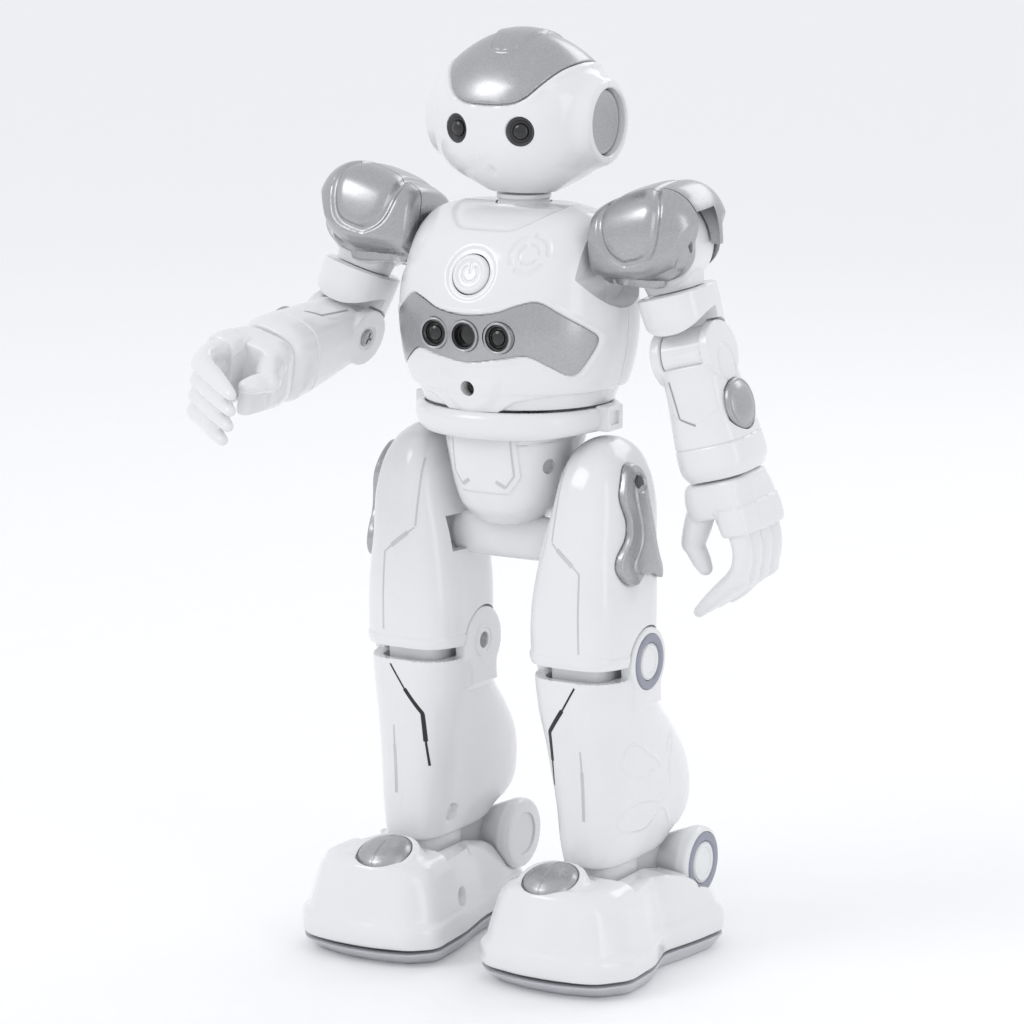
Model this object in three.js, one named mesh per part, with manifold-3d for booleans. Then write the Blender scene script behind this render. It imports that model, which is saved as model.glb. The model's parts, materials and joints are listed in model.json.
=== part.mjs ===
// A walking humanoid toy robot, 262 mm tall, standing on its two soles.
// Millimetres, +Z up. The robot faces -Y and its own left hand is on the +X side.
// The origin is on the floor, under the middle of the box round the robot as it stands in this pose.
import * as THREE from "three";
import { mergeVertices } from "three/addons/utils/BufferGeometryUtils.js";
import Module from "manifold-3d";

const wasm = await Module();
wasm.setup();

// ---------- driving dimensions ----------

const BOX_MIDDLE_X = 3; // where the middle of the whole box lies, seen from the robot's own mid-plane
const BOX_MIDDLE_Y = -20.8; // and seen from the knee axis
const GAP = 0.3; // clearance between pieces that are fastened to each other
const WALL = 2.2; // wall of the moulded shells
const FAR = 400; // longer than anything that a cutting tool has to pass through
const AHEAD = -50; // a place in front of the robot, where cuts into its front begin

const FACE_SPLIT_Y = 4; // seam between the face and the back of the head
const TORSO_SPLIT_Y = 1; // seam between the chest and the back
const NECK = { y: 3, radius: 7.7, low: 207.6, top: 216.9, pin: 5, pinTop: 222 };
const EAR = { y: 4.5, z: 237.4, radius: 9.2, rim: 12, base: 17, floor: 22.6, outside: 26.5 };
const EYE = { x: 9.9, z: 235.7, radius: 3.9 };
const LENS = { pitch: 10.1, z: 180.4, radius: 4.4 };
const BUTTON = { z: 197.2, y: -26.2, radius: 5.7, tilt: THREE.MathUtils.degToRad(20) };

const SHOULDER = { x: 46, z: 206, scoop: 18.8, scoopFace: 27.2 };
const ARM_HEAD = { radius: 12.6, halfThickness: 6 };
const SLEEVE = { top: 13.6, bottom: 26.8 }; // distances down the arm from the shoulder
const ELBOW = { down: 32, drum: 7.4, halfDrum: 6.1, earRadius: 8.3, clearance: 12.1 };
const WRIST = { down: 66 };

const HIP = { y: 0, z: 138, pin: 4.6 };
const LEG_X = 27; // middle of a leg
const YOKE = { y: -4, z: 124.6 };
const KNEE = { y: 0, z: 88, ear: 9.8, inside: 11.3, outside: 42.5 };
const THIGH_BOTTOM = 89.2;
const SHIN = { top: 84.2, bottom: 30 };
const ANKLE = { y: 26, z: 24, radius: 10.4, inside: 13.2, outside: 46.4 };
const SOLE_TOP = 4.2;
const TOE = {
  place: new THREE.Vector3(27.3, -28.8, 30),
  tilt: new THREE.Quaternion().setFromEuler(new THREE.Euler(THREE.MathUtils.degToRad(22), 0, 0)),
  radius: 8,
};
const WHEEL = { y: -14, z: 5.5, radius: 5, half: 4 };

// How the two arms stand: swing forwards, lift outwards, bend of the elbow and turn of the wrist, in degrees.
const ARM_POSE = {
  left: { swing: -5, splay: 15, elbow: 0, wrist: -8 },
  right: { swing: 12, splay: 16, elbow: 68, wrist: 0 },
};

// ---------- materials ----------

const look = (color, roughness, metalness = 0) => ({ color, roughness, metalness });
const WHITE = look(0xf1f2f4, 0.25);
const SILVER = look(0xa9abae, 0.32, 0.75);
const GREY_RING = look(0x8b8f9c, 0.4);
const SOLE_GREY = look(0xbcbdc2, 0.55);
const BLACK_GLOSS = look(0x0a0a0b, 0.08);
const BOARD_GREEN = look(0x1e5a3a, 0.5);
const BATTERY_BLUE = look(0x2b4a86, 0.45);
const MOTOR_GREY = look(0x55585e, 0.5);
const STEEL = look(0xb8bac0, 0.25, 1);
const RUBBER = look(0x202124, 0.85);

// ---------- solids ----------

// A closed geometry as a solid that can be joined and cut.
function solidOf(geometry) {
  const bare = geometry.index ? geometry.toNonIndexed() : geometry.clone();
  bare.deleteAttribute("normal");
  bare.deleteAttribute("uv");
  const merged = mergeVertices(bare, 1e-4);
  return new wasm.Manifold(
    new wasm.Mesh({
      numProp: 3,
      vertProperties: merged.attributes.position.array,
      triVerts: new Uint32Array(merged.index.array),
    }),
  );
}

function geometryOf(solid) {
  const mesh = solid.getMesh();
  const geometry = new THREE.BufferGeometry();
  geometry.setAttribute("position", new THREE.BufferAttribute(mesh.vertProperties, 3));
  geometry.setIndex(new THREE.BufferAttribute(mesh.triVerts, 1));
  geometry.computeVertexNormals();
  return geometry;
}

// A skin over rings with the same number of points, closed by a fan at each end.
function skin(rings) {
  const count = rings[0].length;
  const points = rings.flat();
  const middle = (ring) =>
    ring.reduce((sum, p) => sum.add(p), new THREE.Vector3()).divideScalar(ring.length);
  const first = points.push(middle(rings[0])) - 1;
  const last = points.push(middle(rings.at(-1))) - 1;
  const faces = [];
  for (let i = 0; i < count; i++) {
    const j = (i + 1) % count;
    for (let r = 0; r + 1 < rings.length; r++) {
      const a = r * count;
      const b = a + count;
      faces.push(a + i, a + j, b + j, a + i, b + j, b + i);
    }
    const end = (rings.length - 1) * count;
    faces.push(first, j, i, last, end + i, end + j);
  }
  const geometry = new THREE.BufferGeometry().setFromPoints(points);
  geometry.setIndex(faces);
  return geometry;
}

// One level outline: half width w, depth f to the front and b to the back, squareness nf and nb.
function outline({ z, w, f, b, cx = 0, cy = 0, nf = 2.4, nb = nf }, count) {
  return Array.from({ length: count }, (_, i) => {
    const angle = ((i + 0.5) / count) * 2 * Math.PI;
    const power = 2 / (Math.sin(angle) < 0 ? nf : nb);
    const bend = (value) => Math.sign(value) * Math.abs(value) ** power;
    const depth = Math.sin(angle) < 0 ? f : b;
    return new THREE.Vector3(cx + w * bend(Math.cos(angle)), cy + depth * bend(Math.sin(angle)), z);
  });
}

const loft = (levels, count = 16) => solidOf(skin(levels.map((level) => outline(level, count))));

// The same levels drawn in by a wall on every side.
function shrink(levels, wall) {
  const low = levels[0].z;
  const high = levels.at(-1).z;
  return levels.map((level) => ({
    ...level,
    z: low + wall + ((level.z - low) * (high - low - 2 * wall)) / (high - low),
    w: Math.max(level.w - wall, 0.5),
    f: Math.max(level.f - wall, 0.5),
    b: Math.max(level.b - wall, 0.5),
  }));
}

const AXIS_TURN = {
  x: new THREE.Matrix4().makeRotationZ(-Math.PI / 2), // CylinderGeometry and LatheGeometry stand along Y
  y: new THREE.Matrix4(),
  z: new THREE.Matrix4().makeRotationX(Math.PI / 2),
};

// A round bar along an axis, from one place on it to another.
function bar(axis, radius, from, to, at = {}, sides = 12) {
  const geometry = new THREE.CylinderGeometry(radius, radius, to - from, sides);
  geometry.translate(0, (from + to) / 2, 0).applyMatrix4(AXIS_TURN[axis]);
  return solidOf(geometry.translate(at.x ?? 0, at.y ?? 0, at.z ?? 0));
}

// A turned solid: [radius, place along the axis] from one end to the other, both ends on the axis.
function turned(axis, profile, at = {}, sides = 12) {
  const geometry = new THREE.LatheGeometry(
    profile.map(([radius, place]) => new THREE.Vector2(radius, place)),
    sides,
  );
  geometry.applyMatrix4(AXIS_TURN[axis]);
  return solidOf(geometry.translate(at.x ?? 0, at.y ?? 0, at.z ?? 0));
}

function block([x0, x1], [y0, y1], [z0, z1]) {
  const geometry = new THREE.BoxGeometry(x1 - x0, y1 - y0, z1 - z0);
  return solidOf(geometry.translate((x0 + x1) / 2, (y0 + y1) / 2, (z0 + z1) / 2));
}

// An outline in the XZ plane, extruded along Y.
function slab(points, [y0, y1]) {
  const shape = new THREE.Shape(points.map(([x, z]) => new THREE.Vector2(x, z)));
  const geometry = new THREE.ExtrudeGeometry(shape, { depth: y1 - y0, bevelEnabled: false });
  geometry.rotateX(Math.PI / 2); // the extrusion now runs along -Y
  return solidOf(geometry.translate(0, y1, 0));
}

// An outline given for one side of the mid-plane, completed with its mirror image.
const mirrored = (points) => [
  ...points,
  ...points.filter(([x]) => x !== 0).map(([x, z]) => [-x, z]).reverse(),
];

const turnedBy = (solid, rotation, place) => {
  const matrix = new THREE.Matrix4().compose(place, rotation, new THREE.Vector3(1, 1, 1));
  return solidOf(geometryOf(solid).applyMatrix4(matrix));
};

const joined = (...solids) => solids.reduce((sum, solid) => sum.add(solid));
const cut = (solid, ...tools) => tools.reduce((rest, tool) => rest.subtract(tool), solid);

function addPiece(group, name, solid, material) {
  const mesh = new THREE.Mesh(geometryOf(solid), new THREE.MeshStandardMaterial(material));
  mesh.name = name;
  group.add(mesh);
}

const SIDES = [
  ["left", 1],
  ["right", -1],
];

// ---------- head ----------

const HEAD_LEVELS = [
  { z: 217.3, w: 9.8, f: 8, b: 9 },
  { z: 222.5, w: 19.5, f: 15.5, b: 18 },
  { z: 227, w: 23.6, f: 19, b: 21.5 },
  { z: 232, w: 25, f: 20.7, b: 23 },
  { z: 237.5, w: 25.4, f: 21.4, b: 23.5 },
  { z: 243, w: 25, f: 20.9, b: 23 },
  { z: 248, w: 23.6, f: 19.2, b: 21 },
  { z: 253, w: 20.5, f: 15.7, b: 17.5 },
  { z: 257.5, w: 15, f: 11.2, b: 12.5 },
  { z: 260.6, w: 9, f: 6.5, b: 7 },
  { z: 262, w: 3, f: 2, b: 2.5 },
].map((level) => ({ ...level, cy: NECK.y, nf: 2.15 }));

const CROWN_EDGE = [
  [0, 242.8],
  [9.5, 243.6],
  [13, 246],
  [16, 249.6],
  [19.5, 253.4],
  [24, 256],
  [24, 270],
];

function makeHead(group) {
  const wall = 4;
  const crownDepth = 1.8;
  const skull = loft(HEAD_LEVELS, 18);
  const earBoss = turned("x", [
    [0, -EAR.outside],
    [EAR.rim - 2.4, -EAR.outside],
    [EAR.rim - 0.6, -EAR.outside + 1.2],
    [EAR.rim, -EAR.outside + 4],
    [EAR.rim + 2.5, -EAR.base],
    [EAR.rim + 2.5, EAR.base],
    [EAR.rim, EAR.outside - 4],
    [EAR.rim - 0.6, EAR.outside - 1.2],
    [EAR.rim - 2.4, EAR.outside],
    [0, EAR.outside],
  ], EAR);
  const cavity = loft(shrink(HEAD_LEVELS, wall).filter((_, i) => i % 2 === 0), 12);
  const crownTool = slab(mirrored(CROWN_EDGE), [AHEAD, FACE_SPLIT_Y + 12]);
  const crownSeat = slab(
    mirrored(CROWN_EDGE.map(([x, z]) => [x, z - GAP])),
    [AHEAD, FACE_SPLIT_Y + 12 + GAP],
  );
  const underCrown = loft(shrink(HEAD_LEVELS, crownDepth), 18);
  const underSeat = loft(shrink(HEAD_LEVELS, crownDepth + GAP), 18);
  const earHoles = SIDES.map(([, side]) =>
    bar("x", EAR.radius + GAP, side > 0 ? EAR.floor : -FAR, side > 0 ? FAR : -EAR.floor, EAR),
  );
  const eyeHoles = SIDES.map(([, side]) =>
    bar("y", EYE.radius + GAP, AHEAD, -8, { x: side * EYE.x, z: EYE.z }),
  );
  const mouth = block([-0.6, 0.6], [AHEAD, -10.8], [222.6, 225]);
  const whole = cut(
    joined(skull, earBoss),
    cavity,
    crownSeat.subtract(underSeat),
    ...earHoles,
    ...eyeHoles,
    mouth,
    bar("z", NECK.pin + 0.4, NECK.low, NECK.pinTop + 2, NECK),
  );
  const front = block([-FAR, FAR], [-FAR, FACE_SPLIT_Y - GAP / 2], [0, FAR]);
  const back = block([-FAR, FAR], [FACE_SPLIT_Y + GAP / 2, FAR], [0, FAR]);
  addPiece(group, "face_shell", whole.intersect(front), WHITE);
  addPiece(group, "head_back_shell", whole.intersect(back), WHITE);
  addPiece(group, "crown_panel", skull.intersect(crownTool).subtract(underCrown), SILVER);
  for (const [name, side] of SIDES) {
    const disc = turned("x", [
      [0, EAR.floor + GAP],
      [EAR.radius, EAR.floor + GAP],
      [EAR.radius, EAR.floor + 1.4],
      [EAR.radius * 0.7, EAR.floor + 2],
      [0, EAR.floor + 2.4],
    ], EAR);
    const ear = new THREE.Group();
    ear.scale.x = side;
    group.add(ear);
    addPiece(ear, `ear_disc_${name}`, disc, SILVER);
    const eye = turned("y", [
      [0, -18.4],
      [EYE.radius * 0.55, -17.9],
      [EYE.radius * 0.62, -16.9],
      [EYE.radius, -16.5],
      [EYE.radius, -12],
      [0, -12],
    ], { x: EYE.x, z: EYE.z });
    addPiece(ear, `eye_${name}`, eye, BLACK_GLOSS);
  }
}

// ---------- torso ----------

const TORSO_LEVELS = [
  { z: 159.1, w: 27.4, f: 25.6, b: 19 },
  { z: 163.4, w: 29.2, f: 26.4, b: 19.6 },
  { z: 165.5, w: 31.4, f: 27, b: 20 },
  { z: 173, w: 33.6, f: 28.4, b: 20.8 },
  { z: 181, w: 34.6, f: 29.5, b: 21 },
  { z: 189, w: 34.4, f: 28.9, b: 21 },
  { z: 197, w: 33.2, f: 26.5, b: 20.5 },
  { z: 204, w: 31, f: 22.8, b: 19 },
  { z: 209, w: 28, f: 18.5, b: 16.5 },
  { z: 212.4, w: 24, f: 13.5, b: 13.5 },
  { z: 214.4, w: 18, f: 8.5, b: 10 },
].map((level) => ({ ...level, nf: 2.05, nb: 3 }));

const BAND_EDGE = [
  [0, 186.2],
  [9, 187.2],
  [15, 189.4],
  [20, 190.3],
  [25, 187.3],
  [31.4, 181.8],
  [32, 179],
  [28.6, 171],
  [26.6, 169.8],
  [22, 173],
  [17, 175.8],
  [9, 174.2],
  [0, 173],
];

const BACK_DOOR = { x: 15, low: 166, high: 196, seat: 10, thickness: 1.8 };

function makeTorso(group) {
  const body = loft(TORSO_LEVELS, 18);
  const inner = loft(
    shrink(TORSO_LEVELS, WALL)
      .map((level, i) => (i ? level : { ...level, z: 150 }))
      .filter((_, i) => i % 2 === 0),
    14,
  );
  const reach = (side, face) => (side > 0 ? [face, FAR] : [-FAR, -face]);
  const scoop = (radius, face) =>
    SIDES.map(([, side]) => bar("x", radius, ...reach(side, face), { z: SHOULDER.z }, 18));
  const bandDepth = 1.4;
  const bandTool = slab(mirrored(BAND_EDGE), [AHEAD, -8]);
  const bandSeat = slab(mirrored(BAND_EDGE.map(([x, z]) => [x * 1.01, z + (z > 178 ? GAP : -GAP)])),
    [AHEAD, -8 + GAP]);
  const lensHoles = [-1, 0, 1].map((place) =>
    bar("y", LENS.radius + GAP, AHEAD, -20, { x: place * LENS.pitch, z: LENS.z }),
  );
  const buttonHole = turnedBy(
    bar("y", BUTTON.radius + GAP, -20, 20),
    new THREE.Quaternion().setFromAxisAngle(new THREE.Vector3(1, 0, 0), -BUTTON.tilt),
    new THREE.Vector3(0, BUTTON.y, BUTTON.z),
  );
  const door = ([x, y, low, high]) => block([-x, x], [y, FAR], [low, high]);
  const whole = cut(
    body,
    cut(inner, ...scoop(SHOULDER.scoop + WALL, SHOULDER.scoopFace - WALL)),
    ...scoop(SHOULDER.scoop, SHOULDER.scoopFace),
    bandSeat.subtract(loft(shrink(TORSO_LEVELS, bandDepth + GAP), 18)),
    ...lensHoles,
    buttonHole.intersect(block([-FAR, FAR], [-FAR, -12], [0, FAR])),
    bar("y", 2.1, AHEAD, -15, { z: 165.6 }),
    bar("x", 3.6, -FAR, FAR, { z: SHOULDER.z }),
    bar("z", NECK.radius + GAP, 205, 230, { y: NECK.y }),
    door([BACK_DOOR.x, BACK_DOOR.seat, BACK_DOOR.low, BACK_DOOR.high]),
  );
  const front = block([-FAR, FAR], [-FAR, TORSO_SPLIT_Y - GAP / 2], [0, FAR]);
  const back = block([-FAR, FAR], [TORSO_SPLIT_Y + GAP / 2, FAR], [0, FAR]);
  addPiece(group, "torso_front_shell", whole.intersect(front), WHITE);
  addPiece(group, "torso_back_shell", whole.intersect(back), WHITE);

  const bandBody = body.subtract(loft(shrink(TORSO_LEVELS, bandDepth), 18));
  addPiece(group, "chest_band", cut(bandBody.intersect(bandTool), ...lensHoles), SILVER);
  const doorBody = body.subtract(loft(shrink(TORSO_LEVELS, BACK_DOOR.thickness), 18));
  const inset = GAP + 0.1;
  const doorTool = door(
    [BACK_DOOR.x - inset, BACK_DOOR.seat + 1, BACK_DOOR.low + inset, BACK_DOOR.high - inset],
  );
  addPiece(group, "battery_cover", doorBody.intersect(doorTool), WHITE);

  for (const [name, place] of [["right", -1], ["center", 0], ["left", 1]]) {
    const front = place ? -28.6 : -29.9;
    const lens = turned("y", [
      [0, front + 0.6],
      [1.6, front + 0.3],
      [2.6, front + 0.9],
      [3.3, front + 1.1],
      [3.6, front],
      [LENS.radius, front + 0.3],
      [LENS.radius, -21],
      [0, -21],
    ], { x: place * LENS.pitch, z: LENS.z });
    addPiece(group, `lens_${name}`, lens, BLACK_GLOSS);
  }
  const sensor = turned("y", [[0, -24.6], [1.8, -24.6], [1.8, -19], [0, -19]], { z: 165.6 });
  addPiece(group, "belly_sensor", sensor, BLACK_GLOSS);
  addPiece(group, "main_board", block([-20, 20], [-13.4, -11.8], [160, 192]), BOARD_GREEN);
  addPiece(group, "battery_pack", block([-13, 13], [0, 13], [163, 194]), BATTERY_BLUE);
  const speaker = turned("y", [
    [0, -14.4],
    [6, -14.4],
    [6, -12.4],
    [3.4, -9.6],
    [0, -9.6],
  ], { x: 12, z: 200 });
  addPiece(group, "speaker", speaker, MOTOR_GREY);
  const neck = joined(
    bar("z", NECK.radius, NECK.low, NECK.top, { y: NECK.y }),
    bar("z", NECK.pin, NECK.top - 1, NECK.pinTop, { y: NECK.y }),
  );
  addPiece(group, "neck_post", neck, WHITE);
}

function makeButton(group) {
  const place = new THREE.Group();
  place.position.set(0, BUTTON.y, BUTTON.z);
  place.rotation.x = -BUTTON.tilt;
  group.add(place);
  const button = turned("y", [
    [0, -0.7],
    [BUTTON.radius * 0.6, -0.6],
    [BUTTON.radius - 0.4, -0.2],
    [BUTTON.radius, 0.3],
    [BUTTON.radius, 5],
    [0, 5],
  ]);
  addPiece(place, "power_button", button, WHITE);
}

// ---------- waist and pelvis ----------

const WAIST_LEVELS = [
  { z: 152.7, w: 27.8, f: 26, b: 18.6 },
  { z: 154.5, w: 28.9, f: 27.6, b: 19.4 },
  { z: 157.4, w: 28.9, f: 28, b: 19.4 },
  { z: 158.8, w: 28, f: 26.6, b: 18.8 },
].map((level) => ({ ...level, nf: 2.05, nb: 3 }));

const WAIST_TAB = { inside: 27.6, outside: 31.2, half: 4, low: 153, high: 159.6 };

const PELVIS_LEVELS = [
  { z: 124.8, w: 6.6, f: 11, b: 6 },
  { z: 126.6, w: 10.4, f: 13.8, b: 8.6 },
  { z: 130, w: 13.8, f: 16.6, b: 11 },
  { z: 136, w: 15.8, f: 18.8, b: 13 },
  { z: 145, w: 17.4, f: 20.6, b: 15 },
  { z: 152.2, w: 19, f: 21.4, b: 16 },
].map((level) => ({ ...level, nf: 2.6, nb: 3 }));

function makeWaist(group) {
  const thickness = 2.6;
  const ringHole = loft(WAIST_LEVELS.map((level) => ({
    ...level,
    z: level.z < 156 ? level.z - 3 : level.z + 3,
    w: level.w - thickness,
    f: level.f - thickness,
    b: level.b - thickness,
  })), 18);
  const tabs = SIDES.map(([, side]) =>
    block(
      side > 0 ? [WAIST_TAB.inside, WAIST_TAB.outside] : [-WAIST_TAB.outside, -WAIST_TAB.inside],
      [-WAIST_TAB.half, WAIST_TAB.half],
      [WAIST_TAB.low, WAIST_TAB.high],
    ).subtract(
      loft(TORSO_LEVELS.slice(0, 3).map((level) => ({ ...level, w: level.w + GAP })), 18),
    ),
  );
  addPiece(group, "waist_band", cut(joined(loft(WAIST_LEVELS, 18), ...tabs), ringHole), WHITE);

  const cavity = loft(shrink(PELVIS_LEVELS, WALL).map((level, i, all) => (
    i === all.length - 1 ? { ...level, z: 160 } : level
  )), 12);
  const pins = bar("x", HIP.pin, -20.4, 20.4, HIP);
  const pelvis = cut(joined(loft(PELVIS_LEVELS).subtract(cavity), pins), bar("x", 2.5, -17, 17, HIP));
  addPiece(group, "pelvis_shell", pelvis.subtract(block([-12.6, 12.6], [-9, 9], [130, 152])), WHITE);
  addPiece(group, "leg_gearbox", block([-12, 12], [-8, 8], [133, 152]), MOTOR_GREY);
  const yoke = loft([
    { z: -17.6, w: 2.6, f: 5, b: 5 },
    { z: -10, w: 3.2, f: 6.4, b: 6.4 },
    { z: 10, w: 3.2, f: 6.4, b: 6.4 },
    { z: 17.6, w: 2.6, f: 5, b: 5 },
  ], 12);
  const across = new THREE.Quaternion().setFromEuler(new THREE.Euler(0, Math.PI / 2, 0));
  const bow = turnedBy(yoke, across, new THREE.Vector3(0, YOKE.y, YOKE.z - 4.2));
  addPiece(group, "hip_yoke", bow, WHITE);
}

// ---------- arms, made for the left side; distances down the arm are along -Z ----------

const COVER_LEVELS = [
  // z here is the distance outwards along the shoulder axis; low and high are heights over the axis
  { z: 28.5, low: -9, high: 8.2, f: 11, b: 11 },
  { z: 31, low: -11.4, high: 10.6, f: 13.6, b: 13.6 },
  { z: 38, low: -11.9, high: 13.8, f: 15.6, b: 15.2 },
  { z: 46, low: -12, high: 16.2, f: 16.4, b: 15.8 },
  { z: 52, low: -11.4, high: 16.8, f: 16, b: 15.6 },
  { z: 57, low: -9.2, high: 14.8, f: 13.6, b: 13.6 },
  { z: 60.6, low: -6, high: 10.6, f: 10, b: 10 },
  { z: 62.2, low: -3, high: 5.4, f: 5, b: 5 },
];

// The cover's outer form, drawn in by a wall, as a loft along X round the shoulder axis.
function coverForm(wall) {
  const rings = COVER_LEVELS.map(({ z, low, high, f, b }) =>
    outline({ z: 0, w: (high - low) / 2 - wall, f: f - wall, b: b - wall, nf: 2.8 }, 16).map(
      (p) => new THREE.Vector3(z + (45 - z) * (wall / 18), p.y, -p.x + (high + low) / 2),
    ),
  );
  return solidOf(skin(rings));
}

function makeShoulder(group, name) {
  const slot = 6.9;
  const centre = { x: SHOULDER.x };
  const form = coverForm(0);
  const below = block([33.5, 90], [-slot, slot], [-40, 0]);
  const outerSlot = block([SHOULDER.x, 90], [-slot - 1, 2.2], [-40, 10.5]);
  const front = cut(
    form.intersect(block([0, 90], [-40, -slot - GAP / 2], [-40, 40])),
    coverForm(WALL),
  );
  const rear = cut(
    form.intersect(block([0, 90], [-slot + GAP / 2, 40], [-40, 40])),
    bar("y", ARM_HEAD.radius + 0.9, -slot - 1, slot, centre, 16),
    below,
    outerSlot,
    bar("x", 3.3, 20, 31.7),
  );
  addPiece(group, `shoulder_front_cover_${name}`, front, SILVER);
  addPiece(group, `shoulder_rear_cover_${name}`, rear, SILVER);
  addPiece(group, `shoulder_axle_${name}`, bar("x", 3, 20, 31.3, {}), STEEL);
}

function makeArmHead(group, name) {
  const neck = loft([
    { z: -17.4, w: 4.6, f: 4.6, nf: 2 },
    { z: -SLEEVE.top + 2, w: 4.6, f: 4.6, nf: 2 },
  ].map((level) => ({ ...level, b: level.f })), 12);
  const throat = loft([
    { z: -SLEEVE.top + GAP, w: 8, f: 6, b: 6, nf: 2.6 },
    { z: -8, w: 8.6, f: 6, b: 6, nf: 3.4 },
    { z: -3, w: 8.6, f: 6, b: 6, nf: 3.4 },
  ], 12);
  const disc = turned("y", [
    [0, -ARM_HEAD.halfThickness],
    [ARM_HEAD.radius - 0.8, -ARM_HEAD.halfThickness],
    [ARM_HEAD.radius, -ARM_HEAD.halfThickness + 0.8],
    [ARM_HEAD.radius, ARM_HEAD.halfThickness - 0.8],
    [ARM_HEAD.radius - 0.8, ARM_HEAD.halfThickness],
    [0, ARM_HEAD.halfThickness],
  ], {}, 16);
  addPiece(group, `arm_head_${name}`, joined(disc, throat, neck), WHITE);
}

function makeUpperArm(group, name) {
  const hinge = { z: -ELBOW.down };
  const sleeve = loft([
    { z: -SLEEVE.bottom, w: 9.5, f: 9.5, b: 9.5 },
    { z: -SLEEVE.bottom + 1, w: 9.9, f: 9.9, b: 9.9 },
    { z: -SLEEVE.top - 1, w: 10.6, f: 10.6, b: 10.6 },
    { z: -SLEEVE.top, w: 10, f: 10, b: 10 },
  ].map((level) => ({ ...level, nf: 2.2 })));
  const drum = joined(
    bar("x", ELBOW.drum, -ELBOW.halfDrum, ELBOW.halfDrum, hinge, 16),
    block([-ELBOW.halfDrum, ELBOW.halfDrum], [0.6, ELBOW.drum], [-ELBOW.down, -SLEEVE.bottom + 8]),
  );
  // The room in front of the drum in which the forearm's lip turns.
  const lipPath = cut(
    bar("x", ELBOW.clearance, -12, 12, hinge, 24),
    bar("x", ELBOW.drum, -20, 20, hinge, 16),
    block([-20, 20], [0.4, 40], [-80, 0]),
  );
  const earPaths = SIDES.map(([, side]) =>
    bar("x", ELBOW.earRadius + 0.5, side > 0 ? ELBOW.halfDrum : -20, side > 0 ? 20 : -ELBOW.halfDrum, hinge),
  );
  const piece = cut(
    joined(cut(sleeve, ...earPaths), drum),
    lipPath,
    bar("z", 4.9, -18, -SLEEVE.top + 2, {}),
    bar("x", 1.8, -20, 20, hinge, 10),
  );
  addPiece(group, `upper_arm_${name}`, piece, WHITE);
}

const FOREARM_LEVELS = [
  { z: -WRIST.down, w: 10, f: 9.9, b: 11.4 },
  { z: -61, w: 11.3, f: 10.9, b: 12.8 },
  { z: -59.4, w: 11.2, f: 10.8, b: 12.7 },
  { z: -50, w: 10.5, f: 10.2, b: 12.2 },
  { z: -42, w: 9.8, f: 9.4, b: 11.2 },
  { z: -ELBOW.down - 2, w: 9.4, f: 8.8, b: 9.4 },
].map((level) => ({ ...level, nf: 2.5 }));

function makeForearm(group, name) {
  const hinge = { z: -ELBOW.down };
  const ears = cut(
    bar("x", ELBOW.earRadius, -9.4, 9.4, hinge),
    block([-ELBOW.halfDrum - GAP, ELBOW.halfDrum + GAP], [-20, 20], [-60, 0]),
  );
  const saddle = bar("x", ELBOW.drum + 0.4, -ELBOW.halfDrum - GAP, ELBOW.halfDrum + GAP, hinge, 16);
  const sleeve = cut(loft(FOREARM_LEVELS), saddle);
  const badgeSeat = turned("x", [[0, 9.2], [7.4, 9.2], [7.4, 20], [0, 20]], { z: -47.6 });
  const shell = cut(
    joined(sleeve, ears),
    badgeSeat,
    bar("x", 1.8, -20, 20, hinge, 10),
    bar("z", 6.4, -WRIST.down - 1, -44, {}),
  );
  addPiece(group, `forearm_${name}`, shell, WHITE);
  const badge = turned("x", [
    [0, 9.6],
    [7, 9.6],
    [7, 10.2],
    [5.4, 11.4],
    [2.8, 12.2],
    [0, 12.4],
  ], { z: -47.6 });
  addPiece(group, `forearm_badge_${name}`, badge, SILVER);
}

const HAND = { top: WRIST.down + 0.5, halfStack: 9.6, seams: [-4.8, 0, 4.8] };

// Side views of the curled hand: [distance outwards from the arm's axis, distance down from the cuff].
const FINGERS_AND_PALM = [
  [-9.6, 0],
  [7.6, 0],
  [8.8, 4],
  [9, 10],
  [8.8, 15.4],
  [7.4, 16],
  [6.8, 20],
  [4.8, 25.6],
  [0.4, 30],
  [-6, 33],
  [-17, 37.4],
  [-19.4, 36.8],
  [-19, 35],
  [-14, 30.6],
  [-7.6, 27.2],
  [-2.8, 24.4],
  [0, 20.4],
  [0.4, 16.4],
  [-1.2, 12.6],
  [-4.4, 10.2],
  [-10.4, 8.8],
  [-11.8, 6.4],
  [-11.4, 2.6],
];

const THUMB = [
  [-11.2, 4],
  [-5, 6],
  [-5.4, 11.6],
  [-9, 16.4],
  [-9.2, 20.6],
  [-10.4, 24],
  [-12.8, 25.6],
  [-15, 25],
  [-17.4, 20.6],
  [-18.4, 15.6],
  [-18, 12.6],
];

const HEEL = [
  [-11, 4],
  [-3, 4],
  [-3.6, 15],
  [-5.4, 18.6],
  [-8.6, 17.6],
  [-9.6, 10],
];

function makeHand(group, name) {
  const side = (outline, stack) => slab(outline.map(([x, down]) => [x, -HAND.top - down]), stack);
  const grooves = HAND.seams.map((y) =>
    block([4, 20], [y - 0.5, y + 0.5], [-HAND.top - 40, -HAND.top - 17]),
  );
  const hand = joined(
    cut(side(FINGERS_AND_PALM, [-HAND.halfStack, HAND.halfStack]), ...grooves),
    side(THUMB, [-8, -0.6]),
    side(HEEL, [0.6, HAND.halfStack - 0.6]),
    bar("z", 6, -HAND.top - 1, -46, {}),
  );
  addPiece(group, `hand_${name}`, hand, WHITE);
}

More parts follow.
